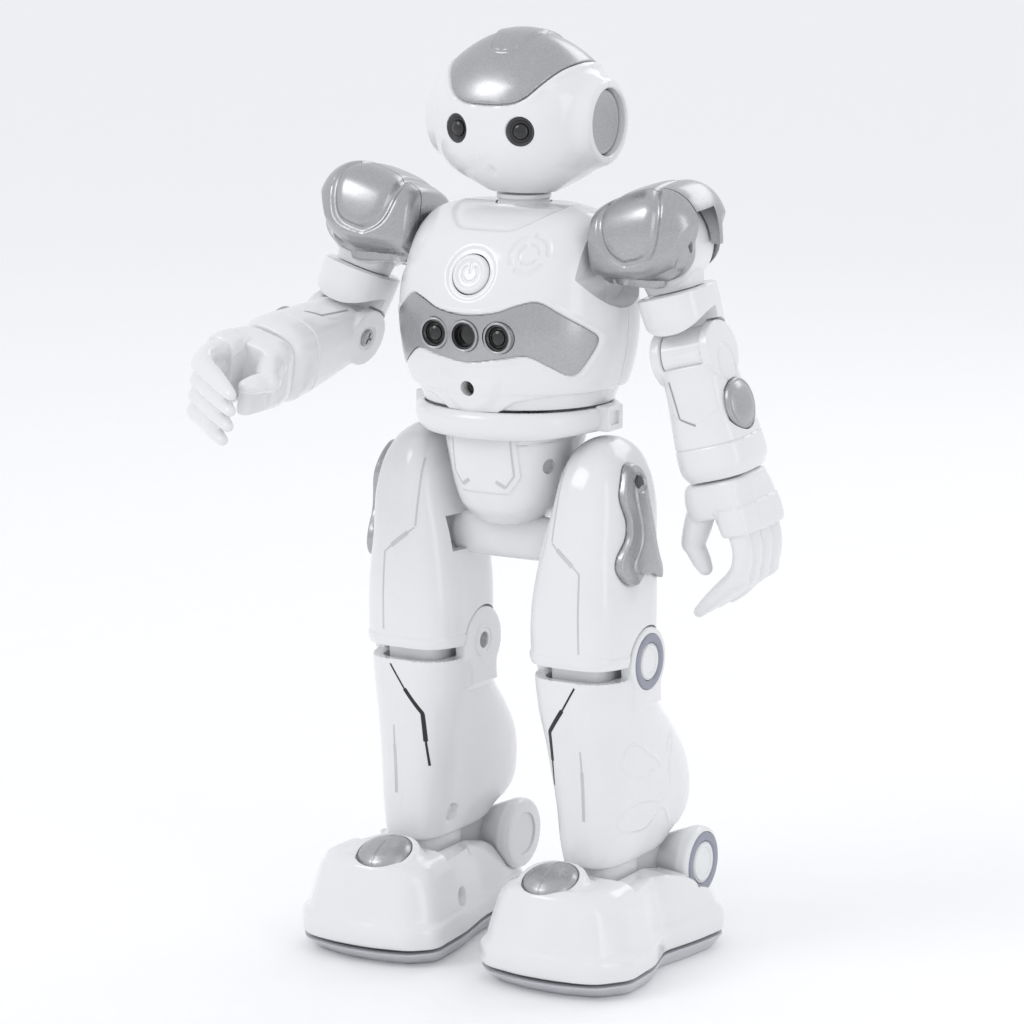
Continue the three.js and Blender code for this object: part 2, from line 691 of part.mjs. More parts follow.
function makeArm(robot, name, side) {
  const pose = ARM_POSE[name];
  const degrees = THREE.MathUtils.degToRad;
  const mirror = new THREE.Group();
  mirror.scale.x = side;
  mirror.position.z = SHOULDER.z;
  robot.add(mirror);

  const shoulder = new THREE.Group();
  shoulder.rotation.x = -degrees(pose.swing);
  mirror.add(shoulder);
  makeShoulder(shoulder, name);

  const lifted = new THREE.Group();
  lifted.position.x = SHOULDER.x;
  lifted.rotation.y = -degrees(pose.splay);
  shoulder.add(lifted);
  makeArmHead(lifted, name);

  makeUpperArm(lifted, name);

  const forearm = new THREE.Group();
  forearm.position.z = -ELBOW.down;
  forearm.rotation.x = -degrees(pose.elbow);
  lifted.add(forearm);
  const back = new THREE.Group();
  back.position.z = ELBOW.down;
  forearm.add(back);
  makeForearm(back, name);
  const hand = new THREE.Group();
  hand.rotation.z = degrees(pose.wrist);
  back.add(hand);
  makeHand(hand, name);
}

// ---------- legs, made for the left side ----------

const THIGH_LEVELS = [
  { z: THIGH_BOTTOM, w: 15.3, f: 21.4, b: 12.4, cx: 26.7, nf: 3.3 },
  { z: 104, w: 15.2, f: 21.8, b: 13.4, cx: 26.8, nf: 3.2 },
  { z: 120, w: 13.8, f: 20.6, b: 14, cx: 27.6, nf: 2.8 },
  { z: 131, w: 12.2, f: 19, b: 14, cx: 28.9, nf: 2.7 },
  { z: 140, w: 10.4, f: 16.4, b: 12.6, cx: 29, nf: 2.7 },
  { z: 146.4, w: 7.6, f: 12, b: 10, cx: 28.6, nf: 2.7 },
  { z: 150.8, w: 2.4, f: 4, b: 3.6, cx: 28, nf: 2.7 },
].map((level) => ({ ...level, nb: 2.7 }));

const SHIN_LEVELS = [
  { z: SHIN.bottom, w: 8.4, f: 15.6, b: 12, cx: 29.4, nb: 3 },
  { z: 33, w: 9.4, f: 16, b: 27, cx: 29.4, nb: 3.6 },
  { z: 38, w: 10.2, f: 16.3, b: 37, cx: 29.2, nb: 4 },
  { z: 46, w: 10.9, f: 16.6, b: 38, cx: 29, nb: 4 },
  { z: 55, w: 11.8, f: 17.2, b: 34.6, cx: 28.4, nb: 3.8 },
  { z: 65, w: 12.8, f: 18.4, b: 26, cx: 27.7, nb: 3.4 },
  { z: 74, w: 14, f: 19.8, b: 16, cx: 27.1, nb: 3 },
  { z: SHIN.top, w: 14.8, f: 20.8, b: 10, cx: 26.8, nb: 3 },
].map((level) => ({ ...level, nf: 3 }));

function makeThigh(group, name) {
  const form = loft(THIGH_LEVELS);
  const cavityLevels = shrink(THIGH_LEVELS, WALL).filter(({ z }) => z > 100);
  const cavity = loft([{ ...cavityLevels[0], z: 99 }, ...cavityLevels], 12);
  const ears = [
    bar("x", KNEE.ear + 0.5, 0, KNEE.inside + 4.4, KNEE),
    bar("x", KNEE.ear + 0.5, KNEE.outside - 4.4, 60, KNEE),
  ];
  const yokeSlot = block([0, 22], [YOKE.y - 8.4, YOKE.y + 8.4], [YOKE.z - 9, YOKE.z + 1]);
  const tongue = loft([
    { z: 80.4, w: 8.8, f: 16.2, b: 7, cx: 26.8, nf: 5 },
    { z: THIGH_BOTTOM + 2, w: 8.8, f: 16.2, b: 7, cx: 26.8, nf: 5 },
  ], 12);
  const piece = cut(
    joined(form, tongue),
    cavity,
    ...ears,
    yokeSlot,
    bar("x", HIP.pin + GAP, 0, 24, HIP),
  );
  addPiece(group, `thigh_shell_${name}`, piece, WHITE);

  const ornamentEdge = [
    // [backwards, height]
    [-8.6, 142.8],
    [-5.6, 144.6],
    [-2, 143.8],
    [0, 141],
    [-0.2, 134],
    [1.8, 126],
    [4.2, 119],
    [7.6, 113],
    [6.2, 110.8],
    [1.6, 112.6],
    [-4.4, 113.2],
    [-8, 111.4],
    [-11.6, 112],
    [-14.6, 116],
    [-14, 119.6],
    [-10.6, 124.4],
    [-10.4, 128],
    [-12, 136],
  ];
  const onSide = new THREE.Quaternion().setFromEuler(new THREE.Euler(0, 0, Math.PI / 2));
  const tool = turnedBy(slab(ornamentEdge, [-60, -30]), onSide, new THREE.Vector3());
  const swollen = (by) => loft(THIGH_LEVELS.map((level) => (
    { ...level, w: level.w + by, f: level.f + by, b: level.b + by }
  )));
  const ornament = swollen(2).intersect(tool).subtract(swollen(GAP));
  addPiece(group, `thigh_ornament_${name}`, ornament, SILVER);
}

function makeShin(group, name) {
  const form = loft(SHIN_LEVELS);
  const cavity = loft([
    { z: 76, w: 10.4, f: 18, b: 8.8, cx: 26.8, nf: 5 },
    { z: 90, w: 10.4, f: 18, b: 8.8, cx: 26.8, nf: 5 },
  ], 12);
  const hub = ([x0, x1]) => joined(
    bar("x", KNEE.ear, x0, x1, KNEE),
    block([x0, x1], [-7, 8.4], [76, 82]),
  );
  const earPieces = [hub([KNEE.inside, KNEE.inside + 4]), hub([KNEE.outside - 4, KNEE.outside])];
  const ringGroove = cut(
    bar("x", 8.1, KNEE.outside - 0.7, 60, KNEE),
    bar("x", 5.1, 30, 60, KNEE),
  );
  const drumClear = bar("x", ANKLE.radius + GAP, 0, 60, ANKLE, 16);
  const piece = cut(
    joined(form.subtract(cavity), ...earPieces),
    ringGroove,
    drumClear,
    bar("x", 2.4, 0, 14, KNEE),
  );
  addPiece(group, `shin_shell_${name}`, piece, WHITE);
  const ringPlace = KNEE.outside - 0.4;
  addPiece(group, `knee_ring_${name}`, flatRing([ringPlace, ringPlace + 0.9], 7.8, 5.4, KNEE), GREY_RING);
}

// A flat ring about the X axis.
function flatRing([x0, x1], outer, inner, at) {
  return turned("x", [[inner, x0], [outer, x0], [outer, x1 - 0.2], [inner, x1], [inner, x0]], at, 16);
}

function makeAnkle(group, name) {
  const { radius, inside, outside } = ANKLE;
  const drum = turned("x", [
    [0, inside],
    [radius - 1, inside],
    [radius, inside + 1],
    [radius, inside + 3.4],
    [6.8, 25],
    [6.8, 34],
    [radius, outside - 3.6],
    [radius, outside - 1],
    [radius - 1, outside],
    [0, outside],
  ], ANKLE, 16);
  const neck = loft([
    { z: 20.4, w: 7.6, f: 12.6, b: 8, cx: 29.4, nf: 3.4 },
    { z: SHIN.bottom - GAP, w: 7.6, f: 12.6, b: 8, cx: 29.4, nf: 3.4 },
  ], 12);
  const arm = block([24, 35], [2, ANKLE.y], [20.4, 28.6]);
  const groove = cut(
    bar("x", 9.1, outside - 0.7, 60, ANKLE, 16),
    bar("x", 5.8, 30, 60, ANKLE, 16),
  );
  addPiece(group, `ankle_block_${name}`, joined(drum, neck, arm).subtract(groove), WHITE);
  const place = outside - 0.4;
  addPiece(group, `ankle_ring_${name}`, flatRing([place, place + 0.8], 8.8, 6.1, ANKLE), GREY_RING);
}

// The foot's widest outline, [outwards, backwards], anticlockwise from the inner front corner.
const FOOT_OUTLINE = [
  [6.4, -33.6],
  [13, -40.6],
  [24, -43],
  [36, -43],
  [48, -39.6],
  [54.6, -31],
  [54, -16],
  [49.6, -2],
  [52.8, 13],
  [54.2, 26],
  [47.6, 34],
  [36, 37.6],
  [24, 37],
  [15.4, 31],
  [12.6, 18],
  [11.6, 2],
  [8, -15],
];

const FOOT_LEVELS = [
  // height, and how far the outline is drawn in from the inside, outside, front and back
  { z: SOLE_TOP + GAP, inner: 1, outer: 1, front: 1, back: 1 },
  { z: 8.4, inner: 0, outer: 0, front: 0, back: 0 },
  { z: 11, inner: 0.3, outer: 0.3, front: 0.3, back: 0.6 },
  { z: 12.4, inner: 1.8, outer: 1.8, front: 1.6, back: 2 },
  { z: 17.5, inner: 2.6, outer: 2.8, front: 2.8, back: 5 },
  { z: 24, inner: 4.2, outer: 4.6, front: 4.2, back: 22 },
  { z: 27.4, inner: 6, outer: 6.6, front: 5.6, back: 38 },
  { z: 28.8, inner: 9, outer: 9.6, front: 8, back: 46 },
];

const FOOT_MIDDLE = { x: 31, y: -3 };

function footRing({ z, inner, outer, front, back, count = 24 }) {
  const curve = new THREE.CatmullRomCurve3(
    FOOT_OUTLINE.map(([x, y]) => new THREE.Vector3(x, y, z)),
    true,
  );
  const reach = { inner: 23, outer: 22.6, front: 40.4, back: 40.6 };
  const draw = (value, middle, low, high) =>
    middle + (value - middle) * (1 - (value < middle ? low : high));
  return curve.getSpacedPoints(count).slice(0, count).map((p) => new THREE.Vector3(
    draw(p.x, FOOT_MIDDLE.x, inner / reach.inner, outer / reach.outer),
    draw(p.y, FOOT_MIDDLE.y, front / reach.front, back / reach.back),
    z,
  ));
}

function makeFoot(group, name) {
  const form = solidOf(skin(FOOT_LEVELS.map(footRing)));
  const hollow = solidOf(skin([
    { z: 0, inner: 3.6, outer: 3.6, front: 3.6, back: 3.6, count: 16 },
    { z: 9, inner: 3.6, outer: 3.6, front: 3.6, back: 4.4, count: 16 },
    { z: 13, inner: 7, outer: 7, front: 8, back: 14, count: 16 },
  ].map(footRing)));
  const heelScoop = turned("x", [
    [0, ANKLE.inside - 4],
    [ANKLE.radius + 0.6, ANKLE.inside - 4],
    [ANKLE.radius + 0.6, ANKLE.outside + 4],
    [0, ANKLE.outside + 4],
  ], ANKLE, 16);
  const neckPocket = block([20.4, 38.4], [-14.6, 30], [16.4, 60]);
  const shinRoom = block([10, 50], [-17.6, 60], [26.4, 60]);
  const pad = loft([
    { z: -7, w: 12.6, f: 11.4, b: 9.4, nf: 2.4 },
    { z: -1, w: 10.4, f: 10.2, b: 9, nf: 2.4 },
    { z: 0, w: 9.4, f: 9.4, b: 8.6, nf: 2.2 },
  ]);
  const toePad = turnedBy(pad, TOE.tilt, TOE.place);
  const domeSeat = turnedBy(bar("z", TOE.radius + GAP, -1, 20), TOE.tilt, TOE.place);
  const piece = cut(joined(form, toePad), hollow, heelScoop, neckPocket, shinRoom, domeSeat);
  addPiece(group, `foot_shell_${name}`, piece, WHITE);

  const dome = turned("z", [[0, -0.7], [TOE.radius, -0.7], [6.6, 1], [4, 2.2], [0, 2.8]]);
  addPiece(group, `toe_dome_${name}`, turnedBy(dome, TOE.tilt, TOE.place), SILVER);

  const sole = solidOf(skin([
    { z: 0, inner: 3, outer: 3, front: 6, back: 3.6 },
    { z: SOLE_TOP, inner: 1, outer: 1, front: 1, back: 1 },
  ].map(footRing)));
  const wheelHole = block([LEG_X - WHEEL.half - 0.8, LEG_X + WHEEL.half + 0.8],
    [WHEEL.y - WHEEL.radius - 0.8, WHEEL.y + WHEEL.radius + 0.8], [-1, 20]);
  addPiece(group, `foot_sole_${name}`, sole.subtract(wheelHole), SOLE_GREY);
}

function makeWheel(group, name) {
  const wheel = bar("x", WHEEL.radius, LEG_X - WHEEL.half, LEG_X + WHEEL.half, WHEEL, 16);
  addPiece(group, `drive_wheel_${name}`, wheel, RUBBER);
}

function makeLeg(robot, name, side) {
  const leg = new THREE.Group();
  leg.scale.x = side;
  robot.add(leg);
  makeThigh(leg, name);
  makeShin(leg, name);
  makeAnkle(leg, name);
  makeFoot(leg, name);
  makeWheel(leg, name);
}

// ---------- the robot ----------

const robot = new THREE.Group();
robot.position.set(-BOX_MIDDLE_X, -BOX_MIDDLE_Y, 0);
makeHead(robot);
makeTorso(robot);
makeButton(robot);
makeWaist(robot);
for (const [name, side] of SIDES) {
  makeArm(robot, name, side);
  makeLeg(robot, name, side);
}

export default robot;
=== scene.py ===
# The looks of a walking humanoid toy robot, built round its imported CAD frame.
# Shapes are worked out in millimetres in the robot's own frame: x to its left, -y forwards, z up,
# with the origin on the floor between its feet. A finished piece is moved into the row frame, in metres.
import json
import math

import bpy
import numpy as np
from mathutils import Matrix, Vector
from mathutils.bvhtree import BVHTree


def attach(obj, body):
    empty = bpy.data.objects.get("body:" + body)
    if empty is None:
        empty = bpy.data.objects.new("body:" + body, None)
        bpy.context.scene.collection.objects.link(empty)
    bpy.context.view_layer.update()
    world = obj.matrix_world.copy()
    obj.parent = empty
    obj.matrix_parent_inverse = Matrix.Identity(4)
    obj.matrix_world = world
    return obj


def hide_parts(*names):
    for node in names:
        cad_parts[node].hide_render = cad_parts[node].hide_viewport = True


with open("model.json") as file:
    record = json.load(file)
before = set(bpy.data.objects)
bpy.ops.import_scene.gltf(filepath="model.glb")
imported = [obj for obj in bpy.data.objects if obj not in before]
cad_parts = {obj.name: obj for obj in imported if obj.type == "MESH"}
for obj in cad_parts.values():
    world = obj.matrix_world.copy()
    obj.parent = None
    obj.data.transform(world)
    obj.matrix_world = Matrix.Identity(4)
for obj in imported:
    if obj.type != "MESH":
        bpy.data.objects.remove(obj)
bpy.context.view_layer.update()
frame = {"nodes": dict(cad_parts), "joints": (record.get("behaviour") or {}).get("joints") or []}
JOINTS = {joint["name"]: joint for joint in frame["joints"]}
SCENE = bpy.context.scene
MM = 0.001
SIDES = {"left": 1, "right": -1}


def place_of(joint):
    return Vector(JOINTS[joint]["pos_m"]) / MM


def axis_of(joint):
    return Vector(JOINTS[joint]["axis"]).normalized()


LEFTWARDS, FORWARDS, BACKWARDS, UP = (1, 0, 0), (0, -1, 0), (0, 1, 0), (0, 0, 1)
CENTRE = (0, 0, 0)
SEAM_GAP = 0.12  # the open line between two halves of a shell
NECK_Y = 3  # the neck stands this far behind the knee axis
ORIGIN = Vector((place_of("head_turn").x, place_of("knee_left").y, 0))
TO_ROW = Matrix.Scale(MM, 4) @ Matrix.Translation(ORIGIN)
MIRROR = Matrix.Scale(-1, 4, (1, 0, 0))

# ---------- curves ----------


def ease(value, low, high):
    t = np.clip((value - low) / (high - low), 0, 1)
    return t * t * (3 - 2 * t)


def curve(points, step, closed=False):
    """Points about `step` apart on a smooth curve through the given ones."""
    p = np.array(points, float)
    ends = (p[-1:], p[:2]) if closed else (2 * p[:1] - p[1:2], 2 * p[-1:] - p[-2:-1])
    p = np.vstack([ends[0], p, ends[1]])
    runs = []
    for a, b, c, d in zip(p, p[1:], p[2:], p[3:]):
        count = max(1, round(float(np.linalg.norm((c - b)[:3])) / step))
        t = (np.arange(count) / count)[:, None]
        runs.append(b + ((c - a) * t + (2 * a - 5 * b + 4 * c - d) * t**2 + (3 * b - a - 3 * c + d) * t**3) / 2)
    return np.vstack(runs if closed else runs + [p[-2:-1]])


def rounded(points, radius, closed=False, steps=5):
    """A polygon or open path with its corners rounded."""
    p = [np.array(q, float) for q in points]
    out = []
    for i, q in enumerate(p):
        if not closed and i in (0, len(p) - 1):
            out.append(q)
            continue
        arms = [other - q for other in (p[i - 1], p[(i + 1) % len(p)])]
        start, end = [q + arm * min(0.48, radius / max(np.linalg.norm(arm), 1e-6)) for arm in arms]
        for t in np.linspace(0, 1, steps):
            out.append((1 - t) ** 2 * start + 2 * t * (1 - t) * q + t**2 * end)
    return np.array(out)


def spaced(path, step, closed=False):
    """The same path with points every `step`."""
    p = np.vstack([path, path[:1]]) if closed else np.array(path, float)
    along = np.concatenate([[0], np.cumsum(np.linalg.norm(np.diff(p, axis=0), axis=1))])
    count = max(4, round(along[-1] / step))
    at = np.linspace(0, along[-1], count, endpoint=not closed)
    return np.column_stack([np.interp(at, along, column) for column in p.T])


def mirrored(points):
    """One half of an outline, completed with its mirror image in x."""
    p = np.array(points, float)
    other = p[::-1] * [-1, 1]
    return np.vstack([p, other[np.abs(other[:, 0]) > 1e-6]])


def distance(flat, path, closed=False):
    """Distance of each flat point from a path, up to a few millimetres."""
    p = np.vstack([path, path[:1]]) if closed else np.array(path, float)
    out = np.full(len(flat), 9.0)
    near = np.all((flat > p.min(0) - 9) & (flat < p.max(0) + 9), axis=1)
    q = flat[near]
    best = np.full(len(q), 81.0)
    for a, b in zip(p, p[1:]):
        d = b - a
        t = np.clip((q - a) @ d / max(d @ d, 1e-12), 0, 1)
        best = np.minimum(best, ((q - a - t[:, None] * d) ** 2).sum(1))
    out[near] = np.sqrt(best)
    return out


def signed(flat, polygon):
    """Distance from a closed outline, below zero inside it."""
    x, y = flat.T
    odd = np.zeros(len(flat), bool)
    for (ax, ay), (bx, by) in zip(polygon, np.roll(polygon, -1, 0)):
        if ay != by:
            odd ^= ((ay > y) != (by > y)) & (x < (bx - ax) * (y - ay) / (by - ay) + ax)
    return np.where(odd, -1, 1) * distance(flat, polygon, True)


def groove(flat, path, width, depth, closed=False, soft=0.25):
    return -depth * (1 - ease(distance(flat, path, closed), width / 2 - soft, width / 2 + soft))


def plateau(flat, polygon, height, soft=0.3):
    return height * (1 - ease(signed(flat, polygon), -soft, soft))


def pit(flat, at, depth, floor, rim):
    """A round hollow in a surface: the radius of its floor and of its rim."""
    return -depth * (1 - ease(np.hypot(*(flat - at).T), floor, rim))


def smooth_outline(points):
    return spaced(curve(points, 0.5, True), 0.5, True)


def cornered(points, radius, step=0.5):
    return spaced(rounded(points, radius, True), step, True)


# ---------- meshes ----------


def solid(points, faces):
    mesh = bpy.data.meshes.new("part")
    mesh.from_pydata(np.asarray(points).tolist(), [], faces)
    obj = bpy.data.objects.new("part", mesh)
    SCENE.collection.objects.link(obj)
    return obj


def skin(rings):
    """A closed mesh over rings with the same number of points."""
    count, last = len(rings[0]), len(rings) - 1
    i = np.arange(count)
    j = (i + 1) % count
    faces = np.vstack([
        np.column_stack([r * count + i, r * count + j, (r + 1) * count + j, (r + 1) * count + i])
        for r in range(last)
    ]).tolist()
    low, high = (last + 1) * count, (last + 1) * count + 1
    faces += [[low, int(b), int(a)] for a, b in zip(i, j)]
    faces += [[high, int(last * count + a), int(last * count + b)] for a, b in zip(i, j)]
    return solid(np.vstack([*rings, [rings[0].mean(0)], [rings[-1].mean(0)]]), faces)


def outline(row, count):
    """One level: height, half width, depth to the front and back, middle, squareness front and back."""
    z, w, f, b, cx, cy, nf, nb = row
    angle = np.linspace(0, 2 * np.pi, 1440, endpoint=False)
    c, s = np.cos(angle), np.sin(angle)
    power = 2 / np.where(s < 0, nf, nb)
    x = cx + w * np.sign(c) * np.abs(c) ** power
    y = cy + np.where(s < 0, f, b) * np.sign(s) * np.abs(s) ** power
    closed = np.column_stack([np.append(x, x[0]), np.append(y, y[0])])
    along = np.concatenate([[0], np.cumsum(np.linalg.norm(np.diff(closed, axis=0), axis=1))])
    at = np.linspace(0, along[-1], count, endpoint=False)
    ring = [np.interp(at, along, column) for column in closed.T]
    return np.column_stack([*ring, np.full(count, z)])


def levels(table, cx=0, cy=0, nf=2.4, nb=None):
    """Level rows from (z, w, f, b) or (z, w, f, b, cx) or (z, w, f, b, cx, nf) or (..., nb)."""
    rows = []
    for z, w, f, b, *rest in table:
        own = dict(zip(("cx", "nf", "nb"), rest))
        front = own.get("nf", nf)
        rows.append([z, w, f, b, own.get("cx", cx), cy, front, own.get("nb", nb or front)])
    return np.array(rows, float)


def drawn_in(rows, wall):
    out = rows.copy()
    low, high = rows[0, 0], rows[-1, 0]
    out[:, 0] = low + wall + (rows[:, 0] - low) * (high - low - 2 * wall) / (high - low)
    out[:, 1:4] = np.maximum(rows[:, 1:4] - wall, 0.05)
    return out


def loft(rows, step=0.5, count=None, smooth=True):
    """A dense closed mesh through the levels."""
    count = count or round(4 * rows[:, 1:4].max() * 1.7 / step)
    dense = curve(rows, step) if smooth else spaced(rows, step)
    return skin([outline(row, count) for row in dense])


def turned(profile, soft=0.2, sides=96):
    """A solid of revolution about z from (radius, height) points, upwards, with softened corners."""
    path = rounded(profile, soft) if soft else np.array(profile, float)
    path = path[(path[:, 0] > 1e-4)]
    angle = np.linspace(0, 2 * np.pi, sides, endpoint=False)
    return skin([
        np.column_stack([r * np.cos(angle), r * np.sin(angle), np.full(sides, h)]) for r, h in path
    ])


def prism(points, low, high, plane="xz"):
    """A flat outline pushed out along the third axis."""
    p = np.array(points, float)
    area = (p[:, 0] * np.roll(p[:, 1], -1) - np.roll(p[:, 0], -1) * p[:, 1]).sum()
    p = p if area > 0 else p[::-1]
    count = len(p)
    flat = {"xy": lambda v: (p[:, 0], p[:, 1], v), "yz": lambda v: (v, p[:, 0], p[:, 1]),
            "xz": lambda v: (p[:, 0], v, p[:, 1])}[plane]
    ends = (high, low) if plane == "xz" else (low, high)
    points = np.vstack([np.column_stack(np.broadcast_arrays(*flat(v))) for v in ends])
    sides = [[i, (i + 1) % count, count + (i + 1) % count, count + i] for i in range(count)]
    return solid(points, [list(range(count))[::-1], list(range(count, 2 * count))] + sides)


def box(x, y, z):
    corners = [(x[0], y[0]), (x[1], y[0]), (x[1], y[1]), (x[0], y[1])]
    return prism(corners, z[0], z[1], "xy")


def limb(path, across, step=0.5, sides=40):
    """A round-ended tube along a smooth path; each point is (x, y, z, radius); `across` squashes it in y."""
    p = curve(path, step)
    centre, radius = p[:, :3], p[:, 3]
    tangent = np.gradient(centre, axis=0)
    tangent /= np.linalg.norm(tangent, axis=1)[:, None]
    rings = []
    angle = np.linspace(0, 2 * np.pi, sides, endpoint=False)

    def ring(c, t, r):
        side = np.array([0, 1.0, 0])
        up = np.cross(t, side)
        up /= np.linalg.norm(up)
        return c + np.cos(angle)[:, None] * up * r + np.sin(angle)[:, None] * np.cross(t, up) * r * across

    caps = np.linspace(0.1, 1, 6)[:-1] * math.pi / 2
    for a in caps:
        rings.append(ring(centre[0] - tangent[0] * radius[0] * math.cos(a), tangent[0],
                          radius[0] * math.sin(a)))
    rings += [ring(*row) for row in zip(centre, tangent, radius)]
    for a in caps[::-1]:
        rings.append(ring(centre[-1] + tangent[-1] * radius[-1] * math.cos(a), tangent[-1],
                          radius[-1] * math.sin(a)))
    return skin(rings)


def moved(obj, place=(0, 0, 0), axis=(0, 0, 1), roll=0):
    """The object with its z axis turned to `axis`, then carried to `place`."""
    turn = Vector(axis).to_track_quat("Z", "Y").to_matrix().to_4x4()
    obj.data.transform(Matrix.Translation(Vector(place)) @ turn @ Matrix.Rotation(roll, 4, "Z"))
    return obj


def reflected(obj):
    """A copy on the other side of the mid-plane."""
    twin = copied(obj)
    twin.data.transform(MIRROR)
    twin.data.flip_normals()
    return twin


def copied(obj):
    twin = obj.copy()
    twin.data = obj.data.copy()
    SCENE.collection.objects.link(twin)
    return twin


def applied(obj, kind, **settings):
    modifier = obj.modifiers.new(kind, kind)
    for key, value in settings.items():
        setattr(modifier, key, value)
    graph = bpy.context.evaluated_depsgraph_get()
    mesh = bpy.data.meshes.new_from_object(obj.evaluated_get(graph))
    obj.modifiers.clear()
    old = obj.data
    obj.data = mesh
    bpy.data.meshes.remove(old)
    if not len(mesh.polygons):
        raise ValueError(f"{kind} left nothing of a part")
    return obj


def combined(obj, operation, tools):
    for tool in tools:
        applied(obj, "BOOLEAN", operation=operation, object=tool, solver="MANIFOLD")
        bpy.data.objects.remove(tool)
    return obj


def cut(obj, *tools):
    return combined(obj, "DIFFERENCE", tools)


def join(obj, *tools):
    return combined(obj, "UNION", tools)


def keep(obj, *tools):
    return combined(obj, "INTERSECT", tools)


def points_of(obj):
    co = np.empty(len(obj.data.vertices) * 3, np.float32)
    obj.data.vertices.foreach_get("co", co)
    return co.reshape(-1, 3).astype(float)


def set_points(obj, co):
    obj.data.vertices.foreach_set("co", co.astype(np.float32).ravel())
    obj.data.update()


def soften(obj, rounds, where=None):
    """Rounds creases off by averaging neighbours; `where` gives each point's share."""
    co = points_of(obj)
    edges = np.empty(len(obj.data.edges) * 2, np.int32)
    obj.data.edges.foreach_get("vertices", edges)
    a, b = edges.reshape(-1, 2).T
    share = 0.5 if where is None else 0.5 * where(co)[:, None]
    size = len(co)
    near = np.maximum(np.bincount(a, minlength=size) + np.bincount(b, minlength=size), 1)
    for _ in range(rounds):
        total = np.column_stack([
            np.bincount(a, co[b, k], size) + np.bincount(b, co[a, k], size) for k in range(3)
        ])
        co = co + share * (total / near[:, None] - co)
    set_points(obj, co)
    return obj


def blended(parts, voxel=0.42, rounds=10):
    """The parts grown into one skin with soft creases between them."""
    first, *others = parts
    for other in others:
        join(first, other)
    applied(first, "REMESH", mode="VOXEL", voxel_size=voxel)
    return soften(first, rounds)


def relief(obj, height):
    """Moves the surface out or in along its normals, by height(points, normals)."""
    co = points_of(obj)
    normals = np.empty(len(co) * 3, np.float32)
    obj.data.vertices.foreach_get("normal", normals)
    normals = normals.reshape(-1, 3).astype(float)
    set_points(obj, co + normals * height(co, normals)[:, None])
    return obj


def split_at(shell, y, low, high):
    """Cuts a shell along a seam across it; the shell keeps its front, and its back is returned."""
    back = keep(copied(shell), box((-50, 50), (y + SEAM_GAP, 50), (low, high)))
    keep(shell, box((-50, 50), (-50, y), (low, high)))
    return back


# ---------- materials ----------


def finish_of(name, colour, roughness, metallic=0.0, coat=0.0, mottle=0.02, grain=0.6, flake=0.0,
              edge_highlight=0.3, bump=0.03, specular=0.5):
    """A moulded or painted finish: cloudy colour, fine grain, painted highlight on convex edges, uneven gloss,
    slight texture.
    """
    material = bpy.data.materials.new(name)
    material.use_nodes = True
    nodes, links = material.node_tree.nodes, material.node_tree.links
    shader = nodes["Principled BSDF"]
    shader.inputs["Metallic"].default_value = metallic
    shader.inputs["Specular IOR Level"].default_value = specular
    shader.inputs["Coat Weight"].default_value = coat
    shader.inputs["Coat Roughness"].default_value = 0.08
    coords = nodes.new("ShaderNodeTexCoord")

    def noise(size, detail=3):
        node = nodes.new("ShaderNodeTexNoise")
        node.inputs["Scale"].default_value = 1 / (size * MM)
        node.inputs["Detail"].default_value = detail
        links.new(coords.outputs["Object"], node.inputs["Vector"])
        return node.outputs["Fac"]

    def spread(value, low, high, to_low, to_high):
        node = nodes.new("ShaderNodeMapRange")
        for socket, number in zip(("From Min", "From Max", "To Min", "To Max"), (low, high, to_low, to_high)):
            node.inputs[socket].default_value = number
        links.new(value, node.inputs["Value"])
        return node.outputs["Result"]

    def mixed(share, first, second, how="MIX"):
        node = nodes.new("ShaderNodeMix")
        node.data_type = "RGBA"
        node.blend_type = how
        links.new(share, node.inputs["Factor"])
        for socket, value in (("A", first), ("B", second)):
            target = next(s for s in node.inputs if s.name == socket and s.type == "RGBA")
            if hasattr(value, "is_linked"):
                links.new(value, target)
            else:
                target.default_value = (*value, 1)
        return next(s for s in node.outputs if s.type == "RGBA")

    def shade(factor):
        return tuple(min(1.0, channel * factor) for channel in colour)

    tone = mixed(spread(noise(14), 0.35, 0.65, 0, 1), shade(1 - mottle), shade(1 + mottle))
    tone = mixed(spread(noise(grain, 2), 0.4, 0.7, 0, 0.5), tone, shade(1 - 1.5 * mottle))
    gloss = spread(noise(7), 0.3, 0.7, roughness * 0.85, roughness * 1.15)
    if flake:
        sparkle = nodes.new("ShaderNodeTexVoronoi")
        sparkle.inputs["Scale"].default_value = 1 / (0.32 * MM)
        links.new(coords.outputs["Object"], sparkle.inputs["Vector"])
        split = nodes.new("ShaderNodeSeparateColor")
        links.new(sparkle.outputs["Color"], split.inputs["Color"])
        tone = mixed(spread(split.outputs["Red"], 0, 1, 0, flake), tone, shade(1.7))
        tone = mixed(spread(split.outputs["Green"], 0, 1, 0, flake), tone, shade(0.5))
    geometry = nodes.new("ShaderNodeNewGeometry")
    # Painted highlight: convex edges, found by their pointiness, are mixed towards a lighter colour, as if they
    # caught the light.
    edge = spread(geometry.outputs["Pointiness"], 0.53, 0.62, 0, edge_highlight)
    tone = mixed(edge, tone, shade(1.12))
    links.new(tone, shader.inputs["Base Color"])
    links.new(gloss, shader.inputs["Roughness"])
    texture = nodes.new("ShaderNodeBump")
    texture.inputs["Strength"].default_value = bump
    texture.inputs["Distance"].default_value = 0.1 * MM
    links.new(noise(grain * 0.5, 2), texture.inputs["Height"])
    links.new(texture.outputs["Normal"], shader.inputs["Normal"])
    return material


